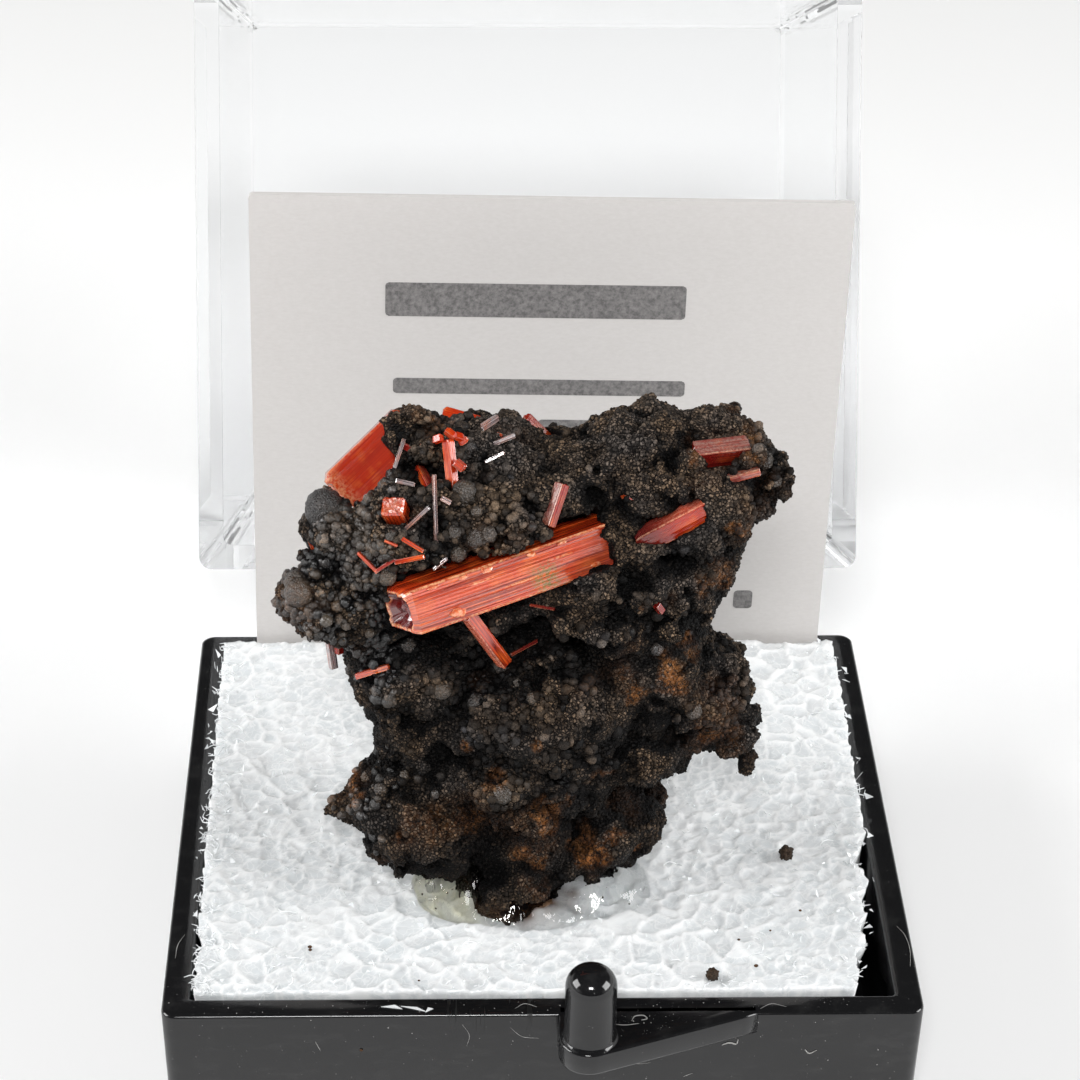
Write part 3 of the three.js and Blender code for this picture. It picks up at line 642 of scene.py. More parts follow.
def ear(x, thickness, hole):
    """A hinge ear: rings about the hinge axis from the hole out to the ear's
    outline, a round end above and a stem down to the tray's wall."""
    outline = [(BACK - 0.5, RIM - 3.6), (HINGE_Y + EAR_RADIUS, RIM - 1.4), (HINGE_Y + EAR_RADIUS, HINGE_Z)]
    outline += [(HINGE_Y + EAR_RADIUS * math.cos(a), HINGE_Z + EAR_RADIUS * math.sin(a))
                for a in np.linspace(0.2, math.pi, 14)]
    outline += [(HINGE_Y - EAR_RADIUS, RIM - 0.35), (BACK - 0.5, RIM - 0.35)]
    outline = np.array(outline)
    parts = [np.linspace(a, b, 6, endpoint=False) for a, b in zip(outline, np.roll(outline, -1, 0))]
    outline = np.concatenate(parts)
    centre = np.array([HINGE_Y, HINGE_Z])
    inner = centre + hole * unit(outline - centre)
    soft = 0.12
    toward = unit(centre - outline)
    rings = []
    for flat, side, inset in (
        (inner, -1, 0), (outline, -1, soft), (outline, -1, 0), (outline, 1, 0), (outline, 1, soft),
        (inner, 1, 0),
    ):
        edge = thickness / 2 - (soft if flat is outline and inset == 0 else 0)
        flat = flat + toward * inset if flat is outline else flat
        rings.append(np.column_stack([np.full(len(flat), x + side * edge), flat]))
    rings.append(rings[0])
    points = np.concatenate(rings[:-1])
    count = len(outline)
    faces = grid_faces(len(rings), count, closed=True) % (count * (len(rings) - 1))
    return points, [faces]


def make_tray():
    """The tray: its shell, the peg turned from a profile with a domed top, the ledge
    round the peg and the two hinge ears, as one moulding."""
    peg_x, peg_y, peg_radius, peg_height, dome = 1.84, FRONT - 1.35, 1.07, 3.5, 0.9
    shape = Shape()
    shape.add(*tray_shell())
    straight = RIM + peg_height - dome
    angles = np.radians(np.linspace(0, 88, 12))
    profile = [(0.2, RIM - 0.9), (peg_radius + 0.14, RIM - 0.9), (peg_radius + 0.14, RIM - 0.02)]
    profile += [(peg_radius + 0.04, RIM + 0.05), (peg_radius, RIM + 0.18), (peg_radius, straight)]
    profile += [(peg_radius * math.cos(a) ** 0.8, straight + dome * math.sin(a)) for a in angles[1:]]
    shape.add(*turned(profile, (peg_x, peg_y)))
    shape.add(*slab(ledge_outline(), RIM - 1.1, RIM, 0.14))
    for x in EARS_X:
        shape.add(*ear(x, EAR_THICK, PIN_HOLE))
    return shape.piece("tray_moulding", BLACK_PLASTIC, "black_plastic", replaces=["tray"])


def make_lid():
    """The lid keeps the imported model's shape: its loose triangles are merged and
    flat faces joined, so that a bevel can round every edge."""
    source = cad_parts["lid"]
    mesh = source.data.copy()
    mesh.materials.clear()
    mesh.materials.append(CLEAR_PLASTIC)
    piece = bpy.data.objects.new("lid_moulding", mesh)
    bpy.context.scene.collection.objects.link(piece)

    work = bmesh.new()
    work.from_mesh(mesh)
    bmesh.ops.remove_doubles(work, verts=work.verts, dist=2e-6)
    bmesh.ops.dissolve_limit(work, angle_limit=math.radians(0.6), verts=work.verts, edges=work.edges)
    work.to_mesh(mesh)
    work.free()
    bevel = piece.modifiers.new("edges", "BEVEL")
    bevel.width = 0.035 * MM
    bevel.segments = 2
    bevel.limit_method = "ANGLE"
    bevel.angle_limit = math.radians(40)
    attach(piece, "cover")
    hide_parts("lid")
    return piece


# ----------------------------------------------------------------------- foam


def foam_top(y):
    """The height of the pad's top at y: it rises in a straight line to the back."""
    front, back = FRONT + WALL + FOAM_GAP, FOAM_BACK
    return RIM + FOAM_RISE * np.clip((y - front) / (back - front), 0, 1)


# The right edge of the foam, from front to back, as (y, x).
FOAM_RIGHT = np.array([(-12.9, 13.2), (-7.5, 13.85), (-4.3, 14.2), (-2.7, 14.65), (-2.0, 15.1), (2.4, 15.3),
                       (3.6, 14.8), (5.0, 15.2), (11.0, 14.9)])


def foam_edges(y):
    """The pad's left and right edges at y, both ragged: they lean on the tray's
    walls, except on the right at the front, where the pad was cut short. They
    stay within the lid's walls, which are over the tray's when it is closed."""
    ragged = np.stack([y * 1.3, np.zeros_like(y), np.zeros_like(y)], axis=-1)
    left = -15.0 + 0.35 * rough(ragged, 4, 3) + 0.35 * ease(-y, 4, 12)
    right = np.interp(y, *FOAM_RIGHT.T) + 0.35 * rough(ragged, 4, 5)
    reach = FOAM_REACH - 0.06 - 0.06 * np.clip(rough(ragged * 2, 3, 6), -1, 1)
    return np.maximum(left, -reach), np.minimum(right, reach)


def foam_relief(x, y):
    """Cut cells: each has a skin that dips and tilts its own way, and thin walls
    that stand up between neighbours. Two sizes of cell change over by region."""
    flat = np.stack([x, y, np.zeros_like(x)], axis=-1)
    warp = 0.18 * np.stack([rough(flat * 1.1, 3, 21), rough(flat * 1.1, 3, 22), np.zeros_like(x)], -1)
    height, wall = 0, 0
    region = ease(rough(flat / 5, 2, 9), -0.25, 0.25)
    for size, share, salt in ((1.25, region, 31), (0.72, 1 - region, 47)):
        scaled = (flat + warp) / size
        near, following, own, seed = cells(scaled, salt)
        edge = following - near
        lean = 2 * math.pi * lattice(np.floor(seed).astype(np.int64), salt + 9)
        tilt = (scaled - seed)[..., 0] * np.cos(lean) + (scaled - seed)[..., 1] * np.sin(lean)
        ridge = np.exp(-((edge / 0.09) ** 2))
        skin = size * (0.07 * tilt - 0.03 - 0.08 * own + 0.06 * near**2)
        height = height + share * (skin + size * (0.05 + 0.05 * own) * ridge)
        wall = wall + share * ridge
    return height + 0.035 * rough(flat * 3, 3, 77), wall


def make_foam():
    """The foam pad: a grid of points raised by foam_relief, and four more rows all
    round that drop down its sides, closed by a fan to a point underneath."""
    front, back = FRONT + WALL + FOAM_GAP + 0.05, FOAM_BACK
    rows, columns, skirt = 226, 262, 4
    v = np.linspace(front, back, rows)
    left, right = foam_edges(v)
    u = np.linspace(0, 1, columns)
    x = left[:, None] + (right - left)[:, None] * u
    wave = 0.12 * rough(np.stack([x * 1.5, x * 0, x * 0], -1), 3, 8) * ease(v, back - 2, back)[:, None]
    y = np.broadcast_to(v[:, None], x.shape) + wave
    relief, wall = foam_relief(x, y)
    z = foam_top(y) + FOAM_LIFT + relief
    # The skirt: rows and columns past the edge drop straight down the pad's side.
    pad = ((skirt, skirt), (skirt, skirt))
    x, y, z, wall = (np.pad(a, pad, mode="edge") for a in (x, y, z, wall))
    i, j = np.indices(x.shape)
    past = np.maximum.reduce([skirt - i, i - (x.shape[0] - 1 - skirt), skirt - j,
                              j - (x.shape[1] - 1 - skirt)])
    past = np.clip(past, 0, skirt)
    drop = np.array([0, 0.25, 0.9, 2.2, 5.0])[past]
    inset = np.array([0, 0.0, 0.12, 0.2, 0.25])[past]
    z = np.where(past > 0, np.maximum(z - drop, FLOOR + 0.2), z)
    x = x - np.sign(x) * inset + 0.08 * (past > 0) * noise(np.stack([x * 2, y * 2, z * 2], -1), 12)
    y = y - np.sign(y) * inset * 0.5
    x = np.clip(x, -FOAM_REACH, FOAM_REACH)
    points = np.stack([x, y, z], -1).reshape(-1, 3)
    total_rows, total_columns = x.shape
    number = np.arange(total_rows * total_columns).reshape(total_rows, total_columns)
    rim = np.concatenate([number[0, :-1], number[:-1, -1], number[-1, :0:-1], number[:0:-1, 0]])
    points = np.concatenate([points, [[0, -0.4, FLOOR + 0.2]]])
    faces = [grid_faces(total_rows, total_columns), fan_faces(rim, len(points) - 1, flip=True)]
    piece = new_piece("foam_block", points, faces, FOAM, "foam", replaces=["foam_pad"])
    set_values(piece, wall=np.append(wall.ravel(), 0))
    return piece


def random_turns(rng, count):
    """Random rotation matrices, from unit quaternions."""
    w, x, y, z = unit(rng.normal(size=(count, 4))).T
    return np.stack([
        np.stack([1 - 2 * (y * y + z * z), 2 * (x * y - z * w), 2 * (x * z + y * w)], -1),
        np.stack([2 * (x * y + z * w), 1 - 2 * (x * x + z * z), 2 * (y * z - x * w)], -1),
        np.stack([2 * (x * z - y * w), 2 * (y * z + x * w), 1 - 2 * (x * x + y * y)], -1),
    ], 1)


def scattered(template, faces, places, sizes, turns):
    """Copies of a small solid: each is scaled by its row of sizes, turned and
    put in its place."""
    count, corners = len(places), len(template)
    points = np.einsum("nij,nkj->nki", turns, template[None] * sizes[:, None])
    points = (points + places[:, None]).reshape(-1, 3)
    made = (faces[None] + np.arange(count)[:, None, None] * corners).reshape(-1, faces.shape[1])
    return points, made


ICO = (1 + 5**0.5) / 2
ICO_POINTS = unit(np.array([[-1, ICO, 0], [1, ICO, 0], [-1, -ICO, 0], [1, -ICO, 0], [0, -1, ICO],
                            [0, 1, ICO],
                            [0, -1, -ICO], [0, 1, -ICO], [ICO, 0, -1], [ICO, 0, 1], [-ICO, 0, -1],
                            [-ICO, 0, 1]]))
ICO_FACES = np.array([[0, 11, 5], [0, 5, 1], [0, 1, 7], [0, 7, 10], [0, 10, 11], [1, 5, 9], [5, 11, 4],
                      [11, 10, 2], [10, 7, 6], [7, 1, 8], [3, 9, 4], [3, 4, 2], [3, 2, 6], [3, 6, 8],
                      [3, 8, 9], [4, 9, 5], [2, 4, 11], [6, 2, 10], [8, 6, 7], [9, 8, 1]])


def split_faces(points, faces):
    """Each triangle of a ball becomes four, with the new corners on the sphere."""
    pairs = np.sort(np.concatenate([faces[:, [0, 1]], faces[:, [1, 2]], faces[:, [2, 0]]]), axis=1)
    edges, which = np.unique(pairs, axis=0, return_inverse=True)
    middles = unit(points[edges].mean(1))
    a, b, c = (which.ravel().reshape(3, -1) + len(points))
    p, q, r = faces.T
    made = np.concatenate([np.stack(t, 1) for t in ((p, a, c), (a, q, b), (c, b, r), (a, b, c))])
    return np.concatenate([points, middles]), made


OCTA_POINTS = np.array([[1, 0, 0], [-1, 0, 0], [0, 1, 0], [0, -1, 0], [0, 0, 1], [0, 0, -1]], float)
OCTA_FACES = np.array([[0, 2, 4], [2, 1, 4], [1, 3, 4], [3, 0, 4], [2, 0, 5], [1, 2, 5], [3, 1, 5],
                       [0, 3, 5]])
SPECK_POINTS, SPECK_FACES = split_faces(ICO_POINTS, ICO_FACES)
FINE_POINTS, FINE_FACES = split_faces(*split_faces(SPECK_POINTS, SPECK_FACES))


def low_ball():
    """A ball of 48 triangles: three rings of 8 points and a point at each end."""
    turn = np.arange(8) * math.pi / 4
    rings = [np.column_stack([math.cos(a) * np.cos(turn + k * 0.39), math.cos(a) * np.sin(turn + k * 0.39),
                              np.full(8, math.sin(a))]) for k, a in enumerate((-0.85, 0.0, 0.85))]
    points, (sides, bottom, top) = lofted_rings(rings)
    points[-2:] = [[0, 0, -1], [0, 0, 1]]
    return points, np.concatenate([sides[:, [0, 1, 2]], sides[:, [0, 2, 3]], bottom, top])


def hair(path, radius, sides=5):
    """A thin thread: a ring of the given radius carried along a smooth curve
    through the path's points, tapering at both ends."""
    path = np.array(path, float)
    t = np.linspace(0, len(path) - 1, 9 * (len(path) - 1) + 1)
    first = np.clip(np.floor(t).astype(int), 0, len(path) - 2)
    padded = np.concatenate([[2 * path[0] - path[1]], path, [2 * path[-1] - path[-2]]])
    f = (t - first)[:, None]
    a, b, c, d = (padded[first + k] for k in range(4))
    line = 0.5 * (2 * b + (c - a) * f + (2 * a - 5 * b + 4 * c - d) * f**2 + (3 * b - a - 3 * c + d) * f**3)
    along = unit(np.gradient(line, axis=0))
    side = unit(np.cross(along, [0.3, 0.5, 0.81]))
    up = np.cross(along, side)
    angle = np.arange(sides) * 2 * math.pi / sides
    width = radius * (0.35 + 0.65 * np.sin(math.pi * np.linspace(0.05, 0.95, len(line))))
    ring = side[:, None] * np.cos(angle)[None, :, None] + up[:, None] * np.sin(angle)[None, :, None]
    return lofted_rings(list(line[:, None] + ring * width[:, None, None]))


SHRED = np.array([[-0.5, -0.5, -0.5], [0.5, -0.35, -0.5], [0.1, 0.5, -0.2], [-0.5, -0.5, 0.5],
                  [0.5, -0.35, 0.5], [0.1, 0.5, 0.8]])
SHRED_SIDES = np.array([[0, 2, 1], [3, 4, 5], [0, 1, 4], [0, 4, 3], [1, 2, 5], [1, 5, 4], [2, 0, 3],
                        [2, 3, 5]])


# How many flat shreds and curved threads there are.
SHREDS = 1000
THREADS = 330


def make_membranes():
    """Shreds of cell wall that stand on the foam, thickest along its cut edges."""
    rng = np.random.default_rng(5)
    count = SHREDS
    y = rng.uniform(FRONT + WALL + 0.4, FOAM_BACK - 0.05, count)
    left, right = foam_edges(y)
    share = rng.uniform(0, 1, count)
    edge = rng.uniform(0, 1, count) < 0.2
    share = np.where(edge, np.where(rng.uniform(0, 1, count) < 0.5, rng.uniform(-0.013, 0.02, count),
                                    rng.uniform(0.98, 1.014, count)), share)
    x = left + (right - left) * share
    relief, _ = foam_relief(x, y)
    places = np.stack([x, y, foam_top(y) + FOAM_LIFT + relief + rng.uniform(-0.1, 0.12, count)], -1)
    long = rng.uniform(0.2, 0.65, count) * rng.uniform(0.5, 1, count)
    sizes = np.stack([long, long * rng.uniform(0.15, 0.6, count), np.full(count, 0.015)], -1)
    points, faces = scattered(SHRED, SHRED_SIDES, places, sizes, random_turns(rng, count))
    new_piece("foam_shreds", points, [faces], MEMBRANE, "foam", smooth=False)

    # Curved torn threads: most along the left edge and at the front left corner.
    count = THREADS
    arc, (sides, bottom, top) = hair([(-0.5, 0, 0), (-0.2, 0.2, 0.05), (0.2, 0.22, -0.05), (0.5, 0, 0)],
                                     0.035, 4)
    template_faces = np.concatenate([sides[:, [0, 1, 2]], sides[:, [0, 2, 3]], bottom, top])
    y = FRONT + WALL + 0.4 + (FOAM_BACK - FRONT - 2) * rng.uniform(0, 1, count) ** 1.6
    left, right = foam_edges(y)
    pick = rng.uniform(0, 1, count)
    x = np.where(pick < 0.5, left + rng.exponential(0.35, count),
                 np.where(pick < 0.62, right - rng.exponential(0.3, count), rng.uniform(left, right)))
    relief, _ = foam_relief(x, y)
    places = np.stack([x, y, foam_top(y) + 0.14 + relief], -1)
    long = rng.uniform(0.3, 1.0, count)
    turn = rng.uniform(0, 2 * math.pi, count)
    lean = rng.uniform(-0.5, 0.5, count)
    flat = np.stack([np.cos(turn), np.sin(turn), 0 * turn, -np.sin(turn) * np.cos(lean),
                     np.cos(turn) * np.cos(lean),
                     np.sin(lean), np.sin(turn) * np.sin(lean), -np.cos(turn) * np.sin(lean), np.cos(lean)],
                     -1)
    turns = flat.reshape(count, 3, 3).transpose(0, 2, 1)
    sizes = np.stack([long, long, np.full(count, 1.0)], -1)
    points, faces = scattered(arc, template_faces, places, sizes, turns)
    new_piece("foam_threads", points, [faces], MEMBRANE, "foam")


# ------------------------------------------------------- signed distance field


class Field:
    """Distance to a surface, below zero inside, sampled on a box of points."""

    def __init__(self, low, high, step):
        """Samples step apart from low to high, all 2 outside any solid."""
        self.low, self.step = np.array(low, np.float32), step
        self.axes = [np.arange(a, b, step, dtype=np.float32) for a, b in zip(low, high)]
        self.value = np.full([len(a) for a in self.axes], 2.0, np.float32)

    def window(self, centre, reach):
        """The samples within reach of centre along each axis, and their points."""
        parts = [slice(*np.searchsorted(a, (c - r, c + r))) for a, c, r in zip(self.axes, centre, reach)]
        grid = np.meshgrid(*(a[s] for a, s in zip(self.axes, parts)), indexing="ij")
        return tuple(parts), np.stack(grid, -1)

    def add(self, distance, centre, reach, blend):
        """Joins a solid, the edge between them filled by a radius of blend."""
        parts, points = self.window(centre, reach)
        old, new = self.value[parts], distance(points)
        near = np.maximum(blend - np.abs(old - new), 0) / blend
        self.value[parts] = np.minimum(old, new) - near * near * blend / 4

    def carve(self, distance, centre, reach, blend):
        """Takes a solid away, the edge rounded by a radius of blend."""
        parts, points = self.window(centre, reach)
        old, new = self.value[parts], -distance(points)
        near = np.maximum(blend - np.abs(old - new), 0) / blend
        self.value[parts] = np.maximum(old, new) + near * near * blend / 4

    def front(self, x, height):
        """The first surface met from the front at x and height, or where that
        line comes nearest to the solid if it misses it."""
        i, k = (int(round((c - l) / self.step)) for c, l in ((x, self.low[0]), (height, self.low[2])))
        column = self.value[i, :, k]
        first = int(np.argmax(column < 0) if column.min() < 0 else np.argmin(column))
        return float(self.axes[1][first])

    def at(self, points):
        """The field between its samples, blended along each axis; 2 outside."""
        place = (np.asarray(points, np.float32) - self.low) / self.step
        limit = np.array(self.value.shape) - 2
        base = np.floor(place).astype(int)
        inside = np.all((base >= 0) & (base <= limit), axis=-1)
        base = np.clip(base, 0, limit)
        t = place - base
        total = np.zeros(len(place), np.float32)
        for corner in np.ndindex(2, 2, 2):
            weight = np.prod(np.where(corner, t, 1 - t), axis=-1)
            total += weight * self.value[tuple((base + np.array(corner)).T)]
        return np.where(inside, total, 2.0)

    def outward(self, points):
        """The direction in which the field grows, from differences along the axes."""
        reach = self.step * 0.75
        slope = [self.at(points + reach * e) - self.at(points - reach * e) for e in np.eye(3)]
        return unit(np.stack(slope, -1) + 1e-9)

    def net(self):
        """The zero surface: each cell that it crosses gets one vertex, the mean of
        the crossings on the cell's edges, and each crossed edge one quad."""
        value = self.value
        shape = np.array(value.shape)
        cell_shape = tuple(shape - 1)
        total = np.zeros((int(np.prod(cell_shape)), 4))
        edges = []
        for axis in range(3):
            first = np.take(value, np.arange(shape[axis] - 1), axis)
            second = np.take(value, np.arange(1, shape[axis]), axis)
            at = np.argwhere((first < 0) != (second < 0))
            a, b = first[tuple(at.T)], second[tuple(at.T)]
            others = [k for k in range(3) if k != axis]
            inner = np.all([(at[:, k] > 0) & (at[:, k] < shape[k] - 1) for k in others], axis=0)
            at, a, b = at[inner], a[inner], b[inner]
            crossing = at.astype(float)
            crossing[:, axis] += a / (a - b)
            around = []
            for back_first, back_second in ((0, 0), (1, 0), (1, 1), (0, 1)):
                cell = at.copy()
                cell[:, others[0]] -= back_first
                cell[:, others[1]] -= back_second
                flat = np.ravel_multi_index(cell.T, cell_shape)
                around.append(flat)
                for k in range(3):
                    total[:, k] += np.bincount(flat, crossing[:, k], len(total))
                total[:, 3] += np.bincount(flat, minlength=len(total))
            around = np.stack(around, 1)
            flip = (a < 0) == (axis == 1)
            around[flip] = around[flip][:, ::-1]
            edges.append(around)
        used = np.flatnonzero(total[:, 3])
        number = np.full(len(total), -1)
        number[used] = np.arange(len(used))
        points = total[used, :3] / total[used, 3:] * self.step + self.low
        return points, number[np.concatenate(edges)]


def ellipsoid(centre, radii, turn=0):
    """About the distance to an ellipsoid turned about Y: with q the point over
    the radii and s the point over their squares, |q| (|q| - 1) / |s|."""
    c, s = math.cos(math.radians(turn)), math.sin(math.radians(turn))
    spin = np.array([[c, 0, -s], [0, 1, 0], [s, 0, c]], np.float32)
    centre, radii = np.array(centre, np.float32), np.array(radii, np.float32)

    def distance(points):
        """The distance above, for an array of points."""
        local = (points - centre) @ spin.T
        q = np.linalg.norm(local / radii, axis=-1)
        s2 = np.linalg.norm(local / radii**2, axis=-1) + 1e-6
        return q * (q - 1) / s2

    return distance


def capsule(start, end, r0, r1):
    """Distance to a line between two points, less a radius that goes from r0 to
    r1 along it."""
    start, end = np.array(start, np.float32), np.array(end, np.float32)
    line = end - start

    def distance(points):
        """The distance above, for an array of points."""
        t = np.clip((points - start) @ line / (line @ line), 0, 1)
        return np.linalg.norm(points - start - t[..., None] * line, axis=-1) - (r0 + (r1 - r0) * t)

    return distance


def bar_frame(start, end, roll):
    """The prism's own axes: across its section, out of its front, and along it.
    With GLINT for a roll its front looks halfway between the eye and the lamp."""
    start, end = np.array(start, float), np.array(end, float)
    along = unit(end - start)
    if roll is GLINT:
        front = unit(HALFWAY - along * (along @ HALFWAY))
        return np.stack([np.cross(along, front), -front, along])
    up = unit(np.array([0, 0, 1.0]) - along * along[2])
    front = np.cross(along, up)
    r = math.radians(roll)
    across = up * math.cos(r) - front * math.sin(r)
    return np.stack([across, np.cross(along, across), along])


def bar(start, end, size, roll, grow):
    """Distance to a long box about the line from start to end."""
    axes = bar_frame(start, end, roll)
    middle = (np.array(start, float) + np.array(end, float)) / 2
    length = np.linalg.norm(np.array(end, float) - np.array(start, float))
    half = np.array([size[0], size[1], length]) / 2 + grow

    def distance(points):
        """The distance above, for an array of points."""
        away = np.abs((points - middle) @ axes.T) - half
        outside = np.linalg.norm(np.maximum(away, 0), axis=-1)
        return outside + np.minimum(away.max(-1), 0)

    return distance


# -------------------------------------------------------------- the crystals

# Halfway between the eye's direction and the front lamp's, seen from the stone.
HALFWAY = unit(np.array([-0.045, -0.80, 0.60]))
GLINT = "glint"

# Prisms: middle line from one end to the other as (x, y, height), the section's
# (height, thickness), its roll in degrees, the (length, scale) of the faces that
# close each end, how far its corners are cut, and its finish.
PRISMS = {
    "crystal_main": [((-6.0, -7.83, 15.75), (3.75, -4.4, 17.53), (1.95, 1.9), 15,
                      ((0.25, 0.88), (0.1, 0.95)), 0.12, CROCOITE)],
    "crystal_back_left": [((-8.45, -2.6, 18.2), (-5.3, -1.05, 20.8), (1.95, 1.6), 35,
                           ((0.2, 0.84), (0.4, 0.6)), 0.2, CROCOITE_CLEAR)],
    "crystal_upper_right": [((6.1, -4.0, 20.78), (8.35, -3.6, 20.85), (0.85, 0.95), -10,
                             ((0.05, 0.95), (0.1, 0.9)), 0.1, CROCOITE_DEEP_SHADED)],
    "crystal_right_ledge": [((7.45, -4.75, 20.1), (8.75, -4.4, 20.3), (0.36, 0.4), 0,
                             ((0.05, 0.95), (0.05, 0.9)), 0.1, CROCOITE_DEEP_SHADED)],
    "crystal_right": [((3.75, -6.0, 17.8), (6.85, -5.4, 19.35), (0.9, 0.95), 6, ((0.3, 0.7), (0.15, 0.8)),
                       0.1, CROCOITE_CLEAR)],
    "crystal_lower": [((-3.16, -6.98, 15.03), (-1.6, -6.15, 12.05), (0.52, 0.5), 18,
                       ((0.05, 0.9), (0.05, 0.9)), 0, CROCOITE)],
    "crystal_short": [((0.68, -5.25, 20.2), (0.1, -6.15, 18.75), (0.5, 0.42), 66,
                       ((0.04, 0.92), (0.04, 0.95)), 0, CROCOITE_DEEP_SHADED)],
    "crystal_block": [((-6.2, -6.5, 19.95), (-5.95, -5.9, 19.0), (0.85, 0.95), 12,
                       ((0.12, 0.8), (0.1, 0.9)), 0.15, CROCOITE)],
    "crystal_upright": [
        ((-3.95, -4.1, 21.6), (-3.75, -5.2, 19.85), (0.40, 0.36), 35, ((0.1, 0.8), (0.05, 0.9)), 0,
         CROCOITE_CLEAR),
        ((-4.55, -4.0, 21.50), (-4.15, -4.15, 21.75), (0.34, 0.22), 50, ((0.1, 0.6), (0.1, 0.6)), 0,
         CROCOITE_CLEAR),
        ((-4.05, -3.9, 21.95), (-3.65, -4.1, 21.70), (0.34, 0.26), -25, ((0.1, 0.6), (0.1, 0.6)), 0,
         CROCOITE_CLEAR),
        ((-3.7, -4.0, 21.75), (-3.3, -3.9, 21.55), (0.34, 0.22), 70, ((0.1, 0.6), (0.1, 0.6)), 0,
         CROCOITE_CLEAR),
        ((-3.5, -4.0, 21.35), (-3.15, -3.95, 21.6), (0.26, 0.2), 15, ((0.1, 0.6), (0.1, 0.6)), 0,
         CROCOITE_CLEAR),
    ],
    "needle_grey": [((-4.52, -5.85, 21.0), (-4.44, -7.1, 18.5), (0.2, 0.16), 10, None, 0, CROCOITE_PALE)],
    "blade_1": [((-5.72, -3.75, 21.45), (-6.12, -4.3, 20.4), (0.16, 0.18), GLINT, None, 0, CROCOITE_PALE)],
    "blade_2": [((-2.1, -3.4, 21.0), (-1.2, -3.2, 21.3), (0.2, 0.18), 15, None, 0, CROCOITE_PALE)],
    "blade_3": [((-2.45, -4.3, 20.65), (-1.65, -4.1, 21.0), (0.14, 0.15), GLINT, None, 0, CROCOITE_PALE)],
    "blade_4": [((-2.55, -2.6, 21.3), (-1.9, -1.75, 21.3), (0.3, 0.18), 15, None, 0, CROCOITE_PALE)],
    "blade_5": [((-4.55, -7.7, 17.65), (-4.0, -7.5, 18.05), (0.15, 0.18), GLINT, None, 0, CROCOITE_PALE)],
    "chip_1": [((-4.25, -6.1, 20.05), (-3.85, -6.2, 19.85), (0.22, 0.26), GLINT, None, 0, CROCOITE_PALE)],
    "chip_2": [((-3.65, -4.75, 20.95), (-3.3, -5.0, 20.75), (0.34, 0.24), 20, None, 0, CROCOITE)],
    "blade_6": [((-6.05, -5.25, 20.35), (-5.3, -5.5, 20.3), (0.2, 0.2), GLINT, None, 0, CROCOITE_PALE)],
    "needle_1": [((-5.7, -6.85, 19.0), (-4.72, -6.75, 20.0), (0.17, 0.16), GLINT, None, 0, CROCOITE_PALE)],
    "needle_2": [((-5.8, -7.5, 19.0), (-4.95, -7.6, 18.45), (0.17, 0.15), 20, None, 0, CROCOITE)],
    "needle_3": [((-6.5, -7.25, 18.75), (-5.98, -7.45, 18.62), (0.13, 0.12), 20, None, 0, CROCOITE)],
    "needle_4": [((-6.1, -7.72, 18.0), (-4.9, -7.85, 18.35), (0.19, 0.16), GLINT, None, 0, CROCOITE)],
    "needle_pair": [
        ((-7.6, -6.95, 18.0), (-6.8, -7.5, 17.4), (0.15, 0.13), 20, None, 0, CROCOITE),
        ((-6.9, -7.5, 17.4), (-6.35, -7.6, 17.9), (0.15, 0.13), 20, None, 0, CROCOITE),
    ],
    "crystal_left_edge": [((-9.72, -4.6, 17.6), (-9.4, -4.75, 16.8), (0.3, 0.26), 20, None, 0, CROCOITE)],
    "blade_left_low": [((-8.95, -4.5, 12.5), (-8.75, -4.95, 11.0), (0.3, 0.34), 10, None, 0,
                        CROCOITE_PALE)],
    "needle_left_low": [((-7.8, -5.9, 11.25), (-6.4, -6.2, 11.95), (0.24, 0.2), 10, None, 0, CROCOITE)],
    "crystal_cavity": [((-1.35, -5.9, 12.3), (-0.2, -5.4, 12.7), (0.14, 0.14), 25, None, 0, CROCOITE_DEEP_SHADED)],
    "needle_cavity": [((-0.6, -6.55, 15.2), (0.4, -6.95, 15.25), (0.13, 0.12), 25, None, 0, CROCOITE_DEEP_SHADED)],
    "chip_right": [((4.55, -7.1, 15.55), (4.8, -6.95, 15.1), (0.28, 0.24), 15, None, 0, CROCOITE_DEEP_SHADED)],
    "crystal_ridge_left": [((-4.2, -0.2, 20.45), (-1.9, -0.7, 20.0), (0.7, 0.8), -30,
                            ((0.1, 0.8), (0.1, 0.8)), 0.1, CROCOITE_CLEAR)],
    "crystal_ridge_right": [((-0.75, 0.0, 20.35), (0.35, -0.35, 19.3), (0.42, 0.5), -20,
                             ((0.12, 0.7), (0.1, 0.8)), 0.1, CROCOITE_DEEP_SHADED)],
}
NEEDLE_TIPS = ((0.04, 0.85), (0.04, 0.85))


def section_outline(size, cut, spacing):
    """Points round a prism's section, a rectangle with its corners cut off: each
    point's place, outward direction and distance round, and 1 on the cuts."""
    x, y = size[0] / 2, size[1] / 2
    c = max(cut * 0.6, 0.05 * min(size))
    corners = np.array([[x, -y + c], [x, y - c], [x - c, y], [-x + c, y],
                        [-x, y - c], [-x, -y + c], [-x + c, -y], [x - c, -y]])
    points, out, rim = [], [], []
    for k, (a, b) in enumerate(zip(corners, np.roll(corners, -1, 0))):
        count = max(2, int(round(np.linalg.norm(b - a) / spacing)))
        points.append(np.linspace(a, b, count, endpoint=False))
        direction = unit(b - a)
        out.append(np.tile([direction[1], -direction[0]], (count, 1)))
        rim.append(np.full(count, k % 2))
    points = np.concatenate(points)
    step = np.linalg.norm(np.roll(points, -1, 0) - points, axis=1)
    return points, np.concatenate(out), np.concatenate([[0], np.cumsum(step)[:-1]]), np.concatenate(rim)


